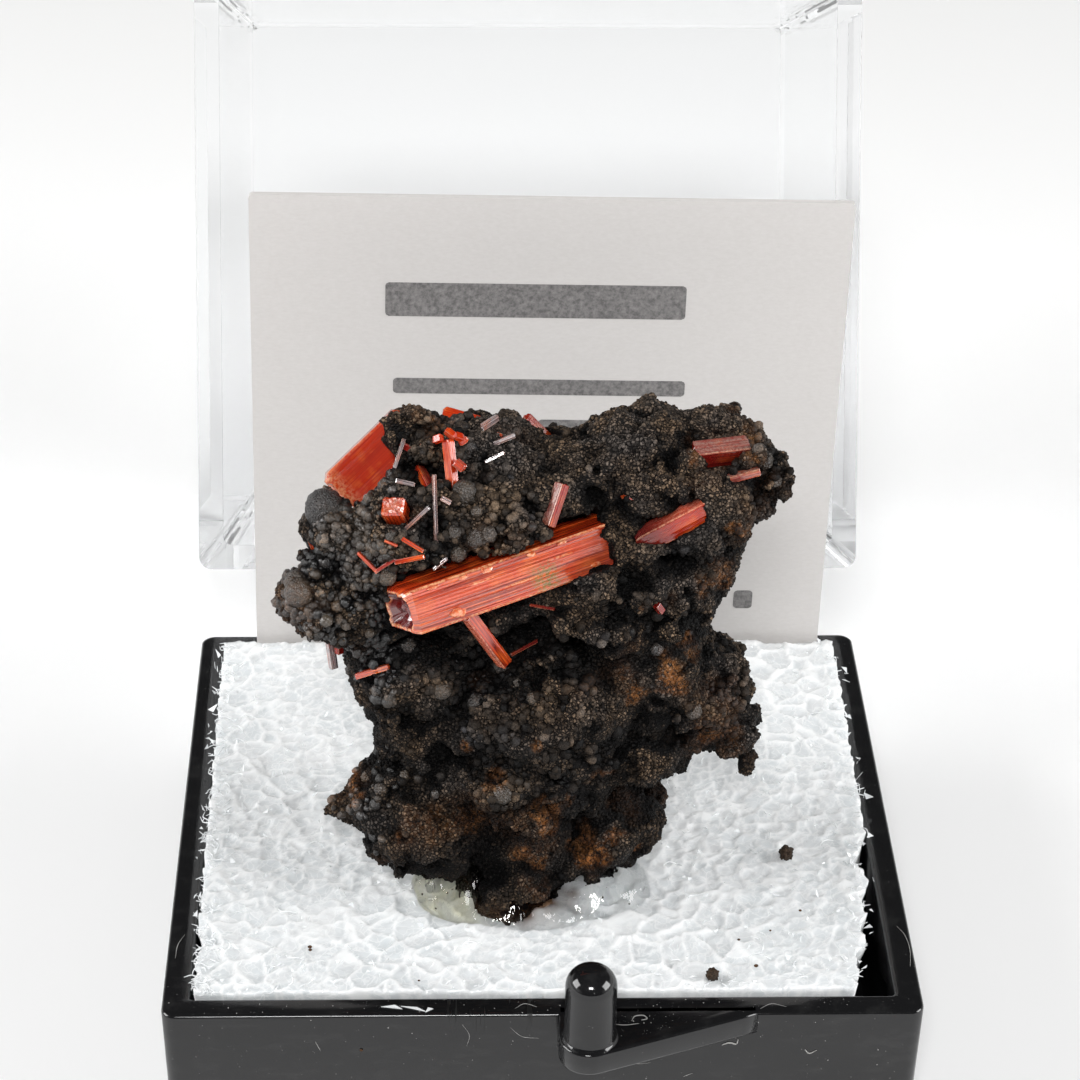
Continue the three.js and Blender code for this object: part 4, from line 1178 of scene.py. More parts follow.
def prism_shape(start, end, size, roll, tips, cut, rng, look, grooves, spacing):
    """A striated prism. Its section is carried from start to end; stripes of a
    random height and lean run along it and fade in and out; the ends taper by
    their own scale and are closed by a broken face, hollowed by look's depth."""
    axes = bar_frame(start, end, roll)
    length = float(np.linalg.norm(np.array(end) - np.array(start)))
    outline, out, around, rim = section_outline(size, cut, spacing)
    (tip_a, scale_a), (tip_b, scale_b) = tips or NEEDLE_TIPS
    inner = max(3, int(length / (spacing * 4)))
    along = np.concatenate([np.linspace(0, tip_a, 4, endpoint=False),
                            np.linspace(tip_a, length - tip_b, inner, endpoint=False),
                            np.linspace(length - tip_b, length, 4)])
    scale = np.interp(along, [0, tip_a, length - tip_b, length], [scale_a, 1, 1, scale_b])
    salt = int(rng.integers(1000))
    breaks = np.cumsum(rng.uniform(1.2, 4.5, int(around[-1] / spacing)) * spacing)
    line = np.searchsorted(breaks, around)
    share = (around - np.append(0, breaks)[line]) / np.diff(np.append(0, breaks), append=1e3)[line]
    key = np.stack([line, line * 0, line * 0], -1)
    lean = lattice(key, salt) + (lattice(key, salt + 3) - 0.5) * np.clip(share, 0, 1) * 1.6
    a, t = np.meshgrid(around, along)
    fading = 0.7 + 0.5 * noise(np.stack([a * 4, t * 0.3, a * 0], -1), salt + 5)
    dent = grooves * lean[None] * fading
    bow = 0.25 * grooves * noise(np.stack([a * 0.7, t * 0.5, a * 0 + 3], -1), salt + 6)
    section = outline[None] * scale[:, None, None] - out[None] * (dent + bow)[..., None]
    jag = grooves * 2.5 * noise(np.stack([a * 3, a * 0, t * 0], -1), salt + 8)
    at = t + np.where(t < 1e-6, np.abs(jag), 0) - np.where(t > length - 1e-6, np.abs(jag), 0)
    slant = look.get("slant", 0.0)
    at = at + slant * section[..., 1] / (size[1] / 2) * (1 - ease(t, 0, length / 3))
    local = np.concatenate([section, at[..., None]], axis=-1)
    points = np.array(start) + local.reshape(-1, 3) @ axes
    rows, columns = a.shape
    facing = np.column_stack([out, np.zeros(columns)]) @ axes
    # Partly painted reflection: pale film on the faces that look along look's film.
    film = look.get("coat", 0.0) * ease(facing @ unit(np.array(look.get("film", (0, 0, 1.0)))), 0.45, 0.7)
    shape_points = [points]
    faces = [grid_faces(rows, columns, closed=True)]
    # Values: around, along, film, edge (a painted highlight on the cut corners, as strong as look's rim)
    # and hollow.
    values = [(a.ravel(), t.ravel(), np.tile(film, rows),
               look.get("rim", 0.3) * np.tile(rim, rows), np.zeros(a.size))]
    count = len(points)
    # Ends: rings that shrink to the middle, pushed in or out at random.
    for row, sign, hollow in ((0, 1, look.get("hollow", 0.0)), (rows - 1, -1, 0.0)):
        ring = np.arange(columns) + row * columns
        rim_points = local[row]
        middle = rim_points.mean(0)
        for share in (0.93, 0.8, 0.6, 0.4, 0.2):
            inner_ring = middle + (rim_points - middle) * share
            rough_end = noise(np.column_stack([inner_ring[:, :2] * 6 / size[0], np.full(columns, row)]),
                              salt + 9)
            inner_ring[:, 2] += sign * (size[0] * 0.10 * rough_end + hollow * ease(1 - share, 0.0, 0.5))
            shape_points.append(np.array(start) + inner_ring @ axes)
            # Painted highlight on the lip of a sunk end, and painted shade inside it.
            lip_highlight = np.full(columns, 1.0 * (share > 0.9) * (hollow > 0))
            inside = np.full(columns, min(1.0, hollow * 3) * (share < 0.9))
            values.append((around, np.full(columns, at[row].mean()), np.full(columns, look.get("cap", 0.0)),
                           lip_highlight, inside))
            new_ring = np.arange(columns) + count
            quads = np.concatenate([ring, new_ring])[grid_faces(2, columns, closed=True)]
            faces.append(quads if sign < 0 else quads[:, ::-1])
            ring, count = new_ring, count + columns
        shape_points.append((np.array(start) + (middle + [0, 0, sign * hollow]) @ axes)[None])
        values.append([np.array([v]) for v in (around.mean(), at[row].mean(), look.get("cap", 0.0), 0.0,
                                               1.0 * (hollow > 0))])
        faces.append(fan_faces(ring, count, flip=sign > 0))
        count += 1
    return np.concatenate(shape_points), faces, [np.concatenate(v) for v in zip(*values)]


# How some crystals differ: coat is how pale a film lies on the faces that look
# along film, partly a painted reflection, and cap the film on the ends; rim is
# how strongly the edges get a painted highlight; slant leans the first end;
# hollow sinks it and paints shade inside it; tip_highlight paints a highlight on
# the edges near it and fade darkens the part up to that many mm from it; dark is
# how much painted shade darkens the whole crystal, except where it has film,
# grooves how deep its stripes are. The stone keeps clear mm out of the view of it
# and top mm off its upper face, along the first until mm.
LOOKS = {
    "crystal_main": {"grooves": 0.028, "rim": 0.75, "slant": 0.32, "hollow": 0.35, "clear": 1.4,
                     "until": 9.15, "coat": 0.27, "film": (0.28, -0.93, 0.25), "top": 1.6},
    "crystal_back_left": {"grooves": 0.005, "clear": 2.3, "until": 2.7, "slant": 0.05, "tip_highlight": 0.6},
    "crystal_upper_right": {"grooves": 0.02, "until": 2.05, "coat": 0.9, "film": (0, -0.1, 1.0),
                            "clear": 0.9, "top": 0.3, "dark": 0.75},
    "crystal_right_ledge": {"coat": 0.85, "film": (0, -0.6, 0.8), "clear": 0.6},
    "crystal_right": {"coat": 0.95, "film": (-0.46, 0.0, 0.89), "clear": 0.5, "until": 3.1, "top": 0.3,
                      "grooves": 0.025, "fade": 2.6},
    "crystal_lower": {"rim": 0.6, "coat": 0.9, "film": (-0.42, -0.75, -0.52), "clear": 1.4},
    "crystal_short": {"coat": 0.95, "film": (-0.75, -0.38, 0.53), "clear": 0.8},
    "crystal_block": {"coat": 0.9, "film": (-0.35, -0.8, 0.5), "clear": 0.8, "cap": 0.95, "grooves": 0.035},
    "crystal_upright": {"coat": 0.25, "film": (-0.75, -0.58, 0.3), "clear": 1.0},
    "crystal_cavity": {"dark": 0.7}, "needle_cavity": {"dark": 0.6}, "chip_right": {"dark": 0.5},
    "crystal_ridge_left": {"grooves": 0.01},
    "crystal_ridge_right": {"grooves": 0.01},
}

# Flakes on the main crystal's front: mm along it from its start, share of the way
# up its front from -1 to 1, length, width and rise.
FLAKES = [(2.2, -0.57, 0.62, 0.50, 0.2), (2.8, 0.86, 0.45, 0.22, 0.12), (3.8, 0.86, 0.52, 0.26, 0.14),
          (5.75, 0.84, 0.42, 0.20, 0.1), (8.25, -0.59, 0.45, 0.22, 0.1), (3.4, 0.42, 1.3, 0.12, 0.05),
          (6.9, 0.30, 1.2, 0.12, 0.05), (5.2, -0.2, 1.5, 0.10, 0.05), (7.1, 0.88, 0.4, 0.16, 0.1),
          (1.5, 0.86, 0.5, 0.14, 0.08)]


def flake_shapes():
    """Raised chips that lie on the main crystal's front: low domes on an oval."""
    start, end, size, roll = PRISMS["crystal_main"][0][:4]
    axes = bar_frame(start, end, roll)
    shape = Shape()
    for number, (t, v, length, width, rise) in enumerate(FLAKES):
        middle = np.array([v * size[0] / 2 * 0.97, size[1] / 2 - 0.01, t])
        chip = SPECK_POINTS * np.array([width / 2, rise, length / 2])
        chip *= 1 + 0.35 * noise(SPECK_POINTS * 2 + number * 3.1, 95)[:, None]
        shape.add(np.array(start) + (middle + chip) @ axes, [SPECK_FACES])
    return shape


def make_crystals():
    """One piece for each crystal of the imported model, its bars put together, with
    the numbers that its finish reads, and the chips on the main crystal."""
    rng = np.random.default_rng(11)
    up = np.array([0, 0, RIM])
    for name, bars in PRISMS.items():
        look = LOOKS.get(name, {})
        shape, values = Shape(), []
        for start, end, size, roll, tips, cut, finish in bars:
            grooves = look.get("grooves", (0.05 if tips else 0.09) * min(size))
            spacing = 0.045 if name == "crystal_main" else max(0.035, min(size) / 14)
            points, faces, numbers = prism_shape(
                start, end, size, roll, tips, cut, rng, look, grooves, spacing)
            shape.add(points + up, faces)
            values.append(numbers)
        piece = shape.piece(f"{name}_prism", finish, "crocoite", replaces=[name], smooth=False)
        around, along, film, edge, hollow = (np.concatenate(v) for v in zip(*values))
        # Painted shade: `dark` darkens the whole crystal, except where it has film.
        hollow = np.maximum(hollow, look.get("dark", 0.0) * (1 - film))
        if "fade" in look:
            hollow = np.maximum(hollow, 0.95 * (1 - ease(along, 0.3, look["fade"])))
        # Painted highlight on the edges near the first end.
        if "tip_highlight" in look:
            edge = np.maximum(edge, look["tip_highlight"] * (1 - ease(along, 0.0, 0.7)))
        stain = np.zeros(len(around))
        if name == "crystal_main":
            front = ease(around, 2.2, 2.9) * (1 - ease(around, 3.4, 3.9))
            stain = np.minimum(1.5 * np.exp(-(((along - 6.1) / 0.5) ** 2)), 1) * front
        set_values(piece, around=around, along=along, stain=stain, film=film, edge=edge, hollow=hollow)
    flakes = flake_shapes()
    flakes.points = [p + up for p in flakes.points]
    piece = flakes.piece("crystal_main_flakes", CROCOITE, "crocoite", smooth=False)
    count = flakes.count
    # The flakes take a painted highlight all over, through edge.
    set_values(piece, around=np.zeros(count), along=np.zeros(count), stain=np.zeros(count),
               film=np.full(count, 0.3), edge=np.full(count, 0.55), hollow=np.zeros(count))


def make_hollow_reds(stone):
    """Deep red prisms that show in the hollow of the upper left."""
    shape, values = Shape(), []
    rng = np.random.default_rng(12)
    for start, end, size in HOLLOW_REDS:
        ends = [np.array([x, *(given or [stone.front(x, h) + 0.3 * size + 0.08]), h])
                for x, h, *given in (start, end)]
        points, faces, numbers = prism_shape(
            *ends, (size, size), 25, None, 0, rng, {"coat": 0.15}, 0.015, 0.04)
        shape.add(points + [0, 0, RIM], faces)
        values.append(numbers)
    piece = shape.piece("crystals_in_hollow", CROCOITE_DEEP_SHADED, "crocoite", smooth=False)
    around, along, film, edge, hollow = (np.concatenate(v) for v in zip(*values))
    set_values(piece, around=around, along=along, film=film, edge=edge, hollow=hollow,
               stain=np.zeros(len(around)))


HOLLOW_REDS = [((-5.9, 20.8), (-5.0, 20.5), 0.4), ((-5.2, 20.0), (-4.4, 19.75), 0.36),
               ((-5.1, 21.1), (-4.5, 20.9), 0.36),
               ((-5.4, 19.35), (-5.0, 18.9), 0.3), ((-5.7, 18.3), (-5.2, 18.6), 0.24),
               ((-1.95, 21.2), (-1.6, 20.9), 0.3),
               ((3.1, 19.35), (3.9, 19.15), 0.26), ((-6.82, 17.52, -7.6), (-6.09, 18.11, -7.7), 0.12),
               ((-8.55, 12.75, -4.75), (-8.5, 11.75, -4.95), 0.28), ((-6.4, 17.9), (-6.0, 17.6), 0.2)]


# -------------------------------------------------------------------- the stone

# Lumps of the stone: centre (x, y, height), radii and turn about Y in degrees.
LUMPS = [
    ((-1.25, -5.0, 0.35), (2.5, 3.4, 2.1), 0), ((-0.8, -5.2, 3.0), (2.5, 2.7, 2.0), 0),
    ((2.0, -4.7, 2.0), (1.9, 2.6, 1.4), -10), ((-5.0, -5.5, 3.9), (3.1, 2.7, 2.5), 20),
    ((-6.8, -5.3, 4.3), (1.5, 1.7, 1.35), 25), ((-7.85, -5.3, 3.85), (1.0, 0.8, 0.62), 20),
    ((-8.85, -5.4, 4.0), (0.5, 0.3, 0.18), 10),
    ((3.1, -4.3, 2.8), (2.1, 2.8, 2.0), 0), ((-0.5, -5.5, 6.1), (3.6, 2.6, 2.6), 0),
    ((0.2, -4.9, 9.3), (4.4, 3.2, 3.0), -20), ((-4.6, -3.9, 7.9), (2.5, 2.7, 2.7), -35),
    ((-5.4, -4.0, 10.7), (2.8, 2.8, 2.7), -25), ((4.2, -4.1, 7.1), (2.2, 2.8, 1.9), 0),
    ((6.8, -3.3, 8.7), (2.0, 2.4, 2.5), 15), ((8.1, -3.7, 7.3), (1.1, 1.6, 1.35), 0),
    ((8.5, -4.0, 6.1), (0.45, 0.9, 0.75), 0), ((5.4, -4.0, 9.6), (2.2, 2.6, 2.2), 0),
    ((-5.1, -4.7, 16.9), (3.4, 3.0, 3.3), 0), ((-7.6, -5.1, 14.8), (2.2, 2.4, 2.2), 0),
    ((-8.4, -4.9, 17.9), (1.35, 1.5, 1.15), 0), ((-9.3, -5.5, 15.2), (1.4, 1.7, 1.7), 0),
    ((-4.9, -2.3, 19.5), (2.1, 2.4, 2.1), 0), ((-2.2, -2.1, 19.0), (2.6, 2.6, 2.1), 0),
    ((-2.0, -4.2, 17.8), (3.4, 2.8, 2.2), 0), ((0.7, -2.9, 18.5), (3.0, 3.0, 2.0), 0),
    ((4.3, -2.1, 19.5), (2.7, 2.8, 2.0), 0), ((7.3, -2.1, 19.8), (2.2, 2.2, 1.5), 15),
    ((6.4, -3.7, 18.5), (2.6, 2.6, 1.9), -25), ((6.7, -3.6, 16.4), (1.4, 2.2, 1.9), 20),
    ((9.0, -3.3, 19.3), (0.9, 1.1, 1.0), 0), ((9.7, -3.3, 19.7), (0.55, 0.7, 0.6), 0),
    ((-1.6, -3.8, 14.0), (3.6, 2.6, 3.4), 0), ((2.4, -4.1, 15.3), (3.8, 3.3, 3.2), -15),
    ((5.1, -3.9, 14.7), (2.3, 2.8, 2.7), 15), ((4.2, -4.1, 11.3), (2.9, 3.0, 2.4), 0),
    ((0.0, -1.7, 10.3), (5.2, 2.8, 5.0), 0), ((0.2, -0.9, 17.3), (4.4, 2.4, 2.6), 0),
    ((-4.2, -1.7, 14.6), (3.0, 2.8, 3.6), 0), ((4.4, -1.3, 14.0), (2.8, 2.6, 3.4), 0),
    ((0.8, -2.0, 4.2), (3.0, 2.8, 3.4), 0),
]
CAVITY = ((-0.3, -7.6, 13.25), (2.7, 3.0, 1.2), -14)

# Hollows in the front, also given painted shade: (x, height), radius and depth.
HOLLOWS = [
    (2.1, 19.5, 0.7, 0.9), (-5.6, 9.4, 0.8, 0.7), (-4.3, 7.4, 0.7, 0.7), (-7.2, 11.5, 0.6, 0.7),
    (6.9, 11.5, 0.6, 0.8), (-4.9, 20.2, 0.75, 0.9), (-4.7, 19.0, 0.5, 0.6), (-3.7, 18.3, 0.45, 0.5),
    (3.9, 16.4, 0.7, 0.7), (5.0, 17.2, 0.5, 0.5), (-3.2, 12.2, 0.8, 0.8),
    (2.9, 9.0, 0.5, 0.6), (-1.3, 8.2, 0.5, 0.5), (-5.2, 14.3, 0.6, 0.6), (5.6, 8.4, 0.5, 0.6),
    (1.4, 4.4, 0.5, 0.6), (-3.6, 4.2, 0.5, 0.5), (-1.9, 16.6, 0.5, 0.4), (6.2, 14.4, 0.5, 0.5),
]

# The way out to the eye from the stone's front, kept clear before each crystal.
TO_EYE = np.array([-0.03, -0.85, 0.52])

# Crusts of stone that grew over crystals.
CRUSTS = [((3.55, -5.2, 17.9), (0.85, 0.75, 0.85)), ((2.9, -4.9, 18.5), (0.75, 0.6, 0.4)),
          ((4.4, -5.0, 19.1), (1.1, 0.8, 0.45)), ((5.9, -4.3, 20.6), (0.55, 0.6, 0.6)),
          ((8.75, -4.1, 20.9), (0.35, 0.5, 0.5)), ((6.9, -5.6, 18.4), (0.5, 0.5, 0.4)),
          ((2.65, -5.70, 18.10), (0.38, 0.4, 0.28)), ((2.95, -5.75, 17.35), (0.36, 0.4, 0.42)),
          ((2.2, -5.95, 16.60), (0.55, 0.4, 0.22)), ((6.75, -5.75, 19.45), (0.36, 0.35, 0.32)),
          ((6.9, -5.8, 18.95), (0.36, 0.35, 0.36)),
          ((4.0, -6.4, 17.6), (0.6, 0.4, 0.5)), ((4.75, -6.3, 17.75), (0.5, 0.35, 0.22)),
          ((6.15, -4.5, 20.75), (0.32, 0.35, 0.36)),
          ((8.2, -4.25, 20.7), (0.34, 0.4, 0.42))]

# Fingers that lie on the stone's front: (x, height) at each end and the radii.
FINGERS = [
    ((-0.3, 12.0), (0.9, 12.1), 0.50, 0.58), ((0.3, 11.6), (1.3, 11.3), 0.38, 0.45),
    ((1.5, 10.6), (0.0, 9.4), 0.62, 0.42), ((2.2, 7.9), (1.1, 7.4), 0.80, 0.50),
    ((0.1, 8.8), (1.3, 9.5), 0.36, 0.40), ((0.8, 14.8), (2.4, 14.5), 0.50, 0.65),
    ((-0.4, 13.2), (0.8, 13.0), 0.45, 0.55), ((-5.0, 10.8), (-4.2, 11.1), 0.26, 0.36),
    ((-5.5, 9.9), (-5.9, 11.2), 0.34, 0.26), ((4.4, 6.7), (3.2, 6.4), 0.46, 0.35),
    ((2.9, 13.2), (4.4, 13.6), 0.55, 0.45), ((4.6, 10.3), (5.8, 10.0), 0.45, 0.55),
    ((-0.6, 6.9), (-1.9, 6.7), 0.40, 0.50), ((7.2, 9.7), (8.0, 8.4), 0.42, 0.52),
]

# Balls on the stone's front: (x, height), radius and gloss.
BALLS = [
    (-9.0, 18.9, 0.80, 0.0), (-9.6, 17.2, 0.34, 0.1), (-10.15, 16.2, 0.5, 0.15), (-10.0, 16.0, 0.63, 0.25),
    (-9.0, 15.9, 0.49, 0.05), (-8.9, 15.2, 0.29, 0.9), (-9.0, 16.8, 0.34, 0.7), (-7.9, 16.8, 0.21, 0.9),
    (-8.4, 16.1, 0.30, 0.8), (-8.3, 18.3, 0.34, 0.0), (-6.4, 17.1, 0.38, 0.2), (-6.0, 17.2, 0.22, 0.5),
    (-6.5, 12.6, 0.45, 0.1), (-5.6, 12.7, 0.34, 0.05), (-7.2, 14.3, 0.24, 0.3), (-3.1, 20.6, 0.49, 0.1),
    (-3.3, 20.0, 0.50, 0.1), (-3.4, 19.6, 0.42, 0.05), (-3.7, 18.9, 0.28, 0.0), (-2.8, 19.5, 0.24, 0.0),
    (-2.8, 18.6, 0.41, 0.0), (-2.3, 18.8, 0.34, 0.0), (-3.55, 17.9, 0.36, 0.1), (-4.8, 17.5, 0.45, 0.15),
    (-0.35, 18.2, 0.34, 0.15), (-4.2, 11.1, 0.39, 0.15), (-2.8, 10.4, 0.35, 0.1),
    (-1.7, 11.5, 0.46, 0.1), (-1.1, 11.2, 0.28, 0.1), (-0.4, 11.0, 0.31, 0.2), (-4.3, 9.9, 0.18, 0.1),
    (-7.8, 5.1, 0.26, 0.3), (-7.4, 5.5, 0.28, 0.1), (-6.8, 5.9, 0.30, 0.0), (-1.7, 6.8, 0.46, 0.3),
    (-4.5, 6.0, 0.20, 0.6), (-5.8, 6.4, 0.23, 0.3), (4.7, 12.8, 0.32, 0.2), (6.3, 9.7, 0.42, 0.4),
    (9.0, 20.3, 0.42, 0.05), (9.4, 19.7, 0.34, 0.0),
]

# Rust: (x, height) on the front, radius and strength.
RUST = [
    (5.4, 11.8, 0.9, 0.8), (3.8, 11.1, 0.7, 0.7), (7.2, 8.0, 0.6, 0.7), (2.6, 7.2, 0.6, 1.0),
    (0.5, 5.9, 0.9, 1.0), (-0.4, 2.8, 0.6, 0.8), (2.3, 2.9, 1.0, 1.0), (4.1, 2.7, 0.25, 1.0),
    (-0.2, 9.4, 0.25, 0.9), (-2.0, 7.4, 0.5, 0.8), (-2.9, 5.0, 0.8, 0.6), (-3.2, 8.5, 0.35, 0.6),
    (-0.8, 3.4, 0.5, 0.9), (-6.0, 4.6, 0.15, 0.9), (-8.0, 5.4, 0.4, 0.7), (7.7, 18.5, 0.5, 0.6),
    (7.1, 16.0, 0.9, 0.4), (8.6, 20.9, 0.4, 0.5), (6.0, 20.9, 0.3, 0.5), (5.9, 12.9, 0.4, 1.0),
    (3.9, 15.6, 0.3, 0.4), (-4.3, 21.5, 0.5, 0.7), (0.3, 4.6, 0.5, 0.9),
]

# Where the stone is a heap of small balls: (x, height) on the front, radius and
# how thickly they lie.
HEAPS = [
    (-6.8, 17.3, 3.2, 1.0), (-2.6, 18.3, 2.4, 0.8), (-9.2, 15.8, 2.0, 1.0), (-4.0, 15.4, 2.2, 0.4),
    (-2.6, 11.2, 2.6, 0.8), (-6.3, 12.2, 1.8, 0.7), (1.5, 8.0, 1.8, 0.35), (-7.2, 5.6, 1.1, 0.2),
    (0.6, 12.6, 1.6, 0.3), (-1.6, 7.2, 1.5, 0.5), (8.9, 20.0, 1.1, 0.7), (8.2, 9.2, 1.4, 0.5),
    (-3.9, 21.0, 1.2, 0.9), (3.0, 14.8, 2.0, 0.2), (6.7, 17.5, 1.6, 0.2),
]


# The corners of the box that the stone is sampled in, and the step, in mm.
STONE_BOX = (-12.0, -10.2, -1.6), (11.6, 3.2, 23.4)
STONE_STEP = 0.163

# Knobs: how far apart and how deep in mm, and the number that sets their places.
KNOBS = ((1.45, 0.74, 61), (0.66, 0.38, 66))


def stone_field():
    """The stone: its lumps joined, fingers laid on the front, knobs of two
    sizes grown from random seeds all over, and room kept for the crystals."""
    field = Field(*STONE_BOX, STONE_STEP)
    for centre, radii, turn in LUMPS:
        field.add(ellipsoid(centre, radii, turn), centre, [max(radii) + 1.2] * 3, 0.35)
    centre, radii, turn = CAVITY
    field.carve(ellipsoid(centre, radii, turn), centre, [max(radii) + 1] * 3, 0.5)
    for x, height, radius, depth in HOLLOWS:
        centre = np.array([x, field.front(x, height), height])
        field.carve(ellipsoid(centre, (radius, depth, radius * 0.75)), centre, [2.2] * 3, 0.3)
    for (x0, h0), (x1, h1), r0, r1 in FINGERS:
        start = np.array([x0, field.front(x0, h0) + r0 * 0.15, h0])
        end = np.array([x1, field.front(x1, h1) + r1 * 0.15, h1])
        middle = (start + end) / 2
        reach = np.abs(end - start) / 2 + max(r0, r1) + 0.8
        field.add(capsule(start, end, r0, r1), middle, reach, 0.14)
    near = np.abs(field.value) < 0.85
    at = np.argwhere(near) * field.step + field.low
    bend = 0.22 * np.stack([rough(at * 0.9, 2, s) for s in (51, 52, 53)], -1)
    knobby = ease(noise(at / 3.1, 60), -0.5, 0.5)
    grown = 0
    for size, depth, salt in KNOBS:
        distance, _, own, _ = cells((at + bend) / size, salt)
        dome = np.sqrt(np.maximum(1 - (distance / 0.70) ** 2, 0))
        grown = grown + depth * (0.35 + 0.85 * own) * (0.6 + 0.55 * knobby) * (dome - 0.5)
    grown = grown + 0.15 * rough(at * 1.6, 3, 71)
    field.value[near] -= grown.astype(np.float32)
    for name, bars in PRISMS.items():
        look = LOOKS.get(name, {})
        for start, end, size, roll, _, _, _ in bars:
            start, end = np.array(start), np.array(end)
            length = np.linalg.norm(end - start)
            end = start + (end - start) * min(1, look.get("until", 99) / length)
            middle = (start + end) / 2
            reach = np.abs(end - start) / 2 + max(size) + 0.5
            field.carve(bar(start, end, size, roll, 0.03), middle, reach, 0.05)
            clear = look.get("clear", 0.35)
            for ahead in np.arange(0.35, clear + 0.01, 0.45)[:, None] * TO_EYE:
                field.carve(bar(start + ahead, end + ahead, (size[0] * 0.92, size[1] + 0.2), roll, 0.0),
                            middle + ahead, reach + 0.3, 0.1)
            if "top" in look:
                across, front, _ = bar_frame(start, end, roll)
                lift = across * (size[0] / 2 + 0.3) + front * (size[1] / 2 - look["top"] / 2)
                field.carve(bar(start + lift, end + lift, (0.7, look["top"]), roll, 0.0), middle + lift,
                            reach + 0.3, 0.1)
    for centre, radii in CRUSTS:
        field.add(ellipsoid(centre, radii), centre, [max(radii) + 1] * 3, 0.25)
    return field


def in_crystal(points, grow):
    """True where a point is inside a crystal made larger by grow."""
    inside = np.zeros(len(points), bool)
    for bars in PRISMS.values():
        for start, end, size, roll, _, _, _ in bars:
            inside |= bar(start, end, size, roll, grow)(points) < 0
    return inside


def on_crust(points):
    """True on the crusts, whose grains may hide a crystal."""
    return np.min([ellipsoid(centre, radii)(points) for centre, radii in CRUSTS], axis=0) < 0.12


def rust_at(points):
    """How rusty the stone is: spots on the front, and faint patches elsewhere."""
    amount = 0.18 * ease(rough(points / 2.6, 3, 81), 0.3, 0.9)
    ragged = 0.6 * rough(points * 1.6, 3, 83)
    for x, height, radius, strength in RUST:
        away = np.hypot(points[:, 0] - x, points[:, 2] - height) / radius
        front = ease(-points[:, 1], 0.5, 3.5)
        amount = np.maximum(amount, strength * front * (1 - ease(away + ragged, 0.2, 1.1)))
    return amount


# The free shares that count as closed in and as open.
OPEN_LIMITS = (0.38, 0.93)

# The way that most light comes from, over the stone.
SKYWARD = unit(np.array([0.0, -0.35, 0.90]))


def painted_light_and_shade(field, points, normals):
    """Painted light and shade, from 0 deep in a hollow to 1 in the open: at four
    distances out from the surface, how much of that distance the stone leaves
    free, darkened low down at the front and in the hollows, and lighter where the
    place faces the sky and is open above it."""
    share = np.ones(len(points), np.float32)
    lean = unit(normals + 0.7 * SKYWARD)
    for reach, way, weight in ((0.3, normals, 0.55), (0.7, normals, 0.6), (1.4, lean, 0.7),
                               (3.0, lean, 0.65)):
        free = np.clip(field.at(points + way * reach) / min(reach, 1.9), 0, 1)
        share *= 1 - weight * (1 - free)
    # Painted shade low down at the front and in the hollows.
    shade = 1 - 0.45 * (1 - ease(points[:, 2], 1.5, 12.0)) * ease(-points[:, 1], 1.0, 4.0)
    for x, height, radius, _ in HOLLOWS:
        away = np.hypot(points[:, 0] - x, points[:, 2] - height) / (radius * 1.3)
        shade *= 1 - 0.45 * (1 - ease(away, 0.4, 1.2)) * ease(-points[:, 1], 1.0, 3.5)
    # Painted light where the place faces the sky and is open above it.
    upward = np.clip(field.at(points + SKYWARD * 0.9) / 0.9, 0, 1)
    lit = (0.5 + 0.5 * ease(normals @ SKYWARD, -0.35, 0.6)) * (0.3 + 0.8 * upward)
    return ease(share, *OPEN_LIMITS) * shade * lit


def on_surface(points, quads, rng, count, weight):
    """Random places on a mesh, by area times weight, with their normals."""
    triangles = np.concatenate([quads[:, [0, 1, 2]], quads[:, [0, 2, 3]]])
    a, b, c = (points[triangles[:, k]] for k in range(3))
    cross = np.cross(b - a, c - a)
    area = np.linalg.norm(cross, axis=1)
    share = np.cumsum(area * weight((a + b + c) / 3, cross / (area[:, None] + 1e-9)))
    pick = np.searchsorted(share, rng.uniform(0, share[-1], count))
    r1, r2 = np.sqrt(rng.uniform(size=(count, 1))), rng.uniform(size=(count, 1))
    places = (1 - r1) * a[pick] + r1 * (1 - r2) * b[pick] + r1 * r2 * c[pick]
    return places, unit(cross[pick] + 1e-12)


def front_weight(at, normals):
    """More on faces that look to the front and up, fewer at the back."""
    return 0.12 + ease(-normals[:, 1] + 0.6 * normals[:, 2], -0.1, 0.7)


def clump_weight(at, normals):
    """As front_weight, in clumps with bare stone between them."""
    return front_weight(at, normals) * (0.15 + ease(rough(at * 1.5, 2, 141), -0.35, 0.4))


def heap_weight(at, normals):
    """How thickly small balls lie at each place."""
    weight = np.full(len(at), 0.02)
    ragged = 0.5 * rough(at * 0.9, 2, 131)
    for x, height, radius, strength in HEAPS:
        away = np.hypot(at[:, 0] - x, at[:, 2] - height) / radius
        weight = np.maximum(weight, strength * (1 - ease(away + ragged, 0.6, 1.2)))
    return weight * front_weight(at, normals)


# Grains: the seed, how many, the smallest and the largest radius in mm, and the
# power that draws the radii towards the smallest.
FINE_GRAINS = (21, 33000, 0.042, 0.100, 1.4)
SMALL_BALLS = (22, 3900, 0.10, 0.27, 2.0)


def grains(points, quads, seed, count, small, large, power, weight):
    """Round grains half sunk into the stone's surface, most of them near the
    small size, placed at random by weight, and none in or before a crystal."""
    rng = np.random.default_rng(seed)
    places, normals = on_surface(points, quads, rng, count, weight)
    radius = small + (large - small) * rng.uniform(0, 1, count) ** power
    keep = ~in_crystal(places + normals * radius[:, None] * 0.5, 0.05)
    before = in_crystal(places - TO_EYE * (0.2 + large), 0.5 * large)
    before |= in_crystal(places - TO_EYE * (0.5 + large), 0.5 * large)
    keep &= ~before | on_crust(places)
    places, normals, radius = places[keep], normals[keep], radius[keep]
    sizes = radius[:, None] * rng.uniform(0.7, 1.3, (len(radius), 3))
    return places, sizes, random_turns(rng, len(radius)), normals


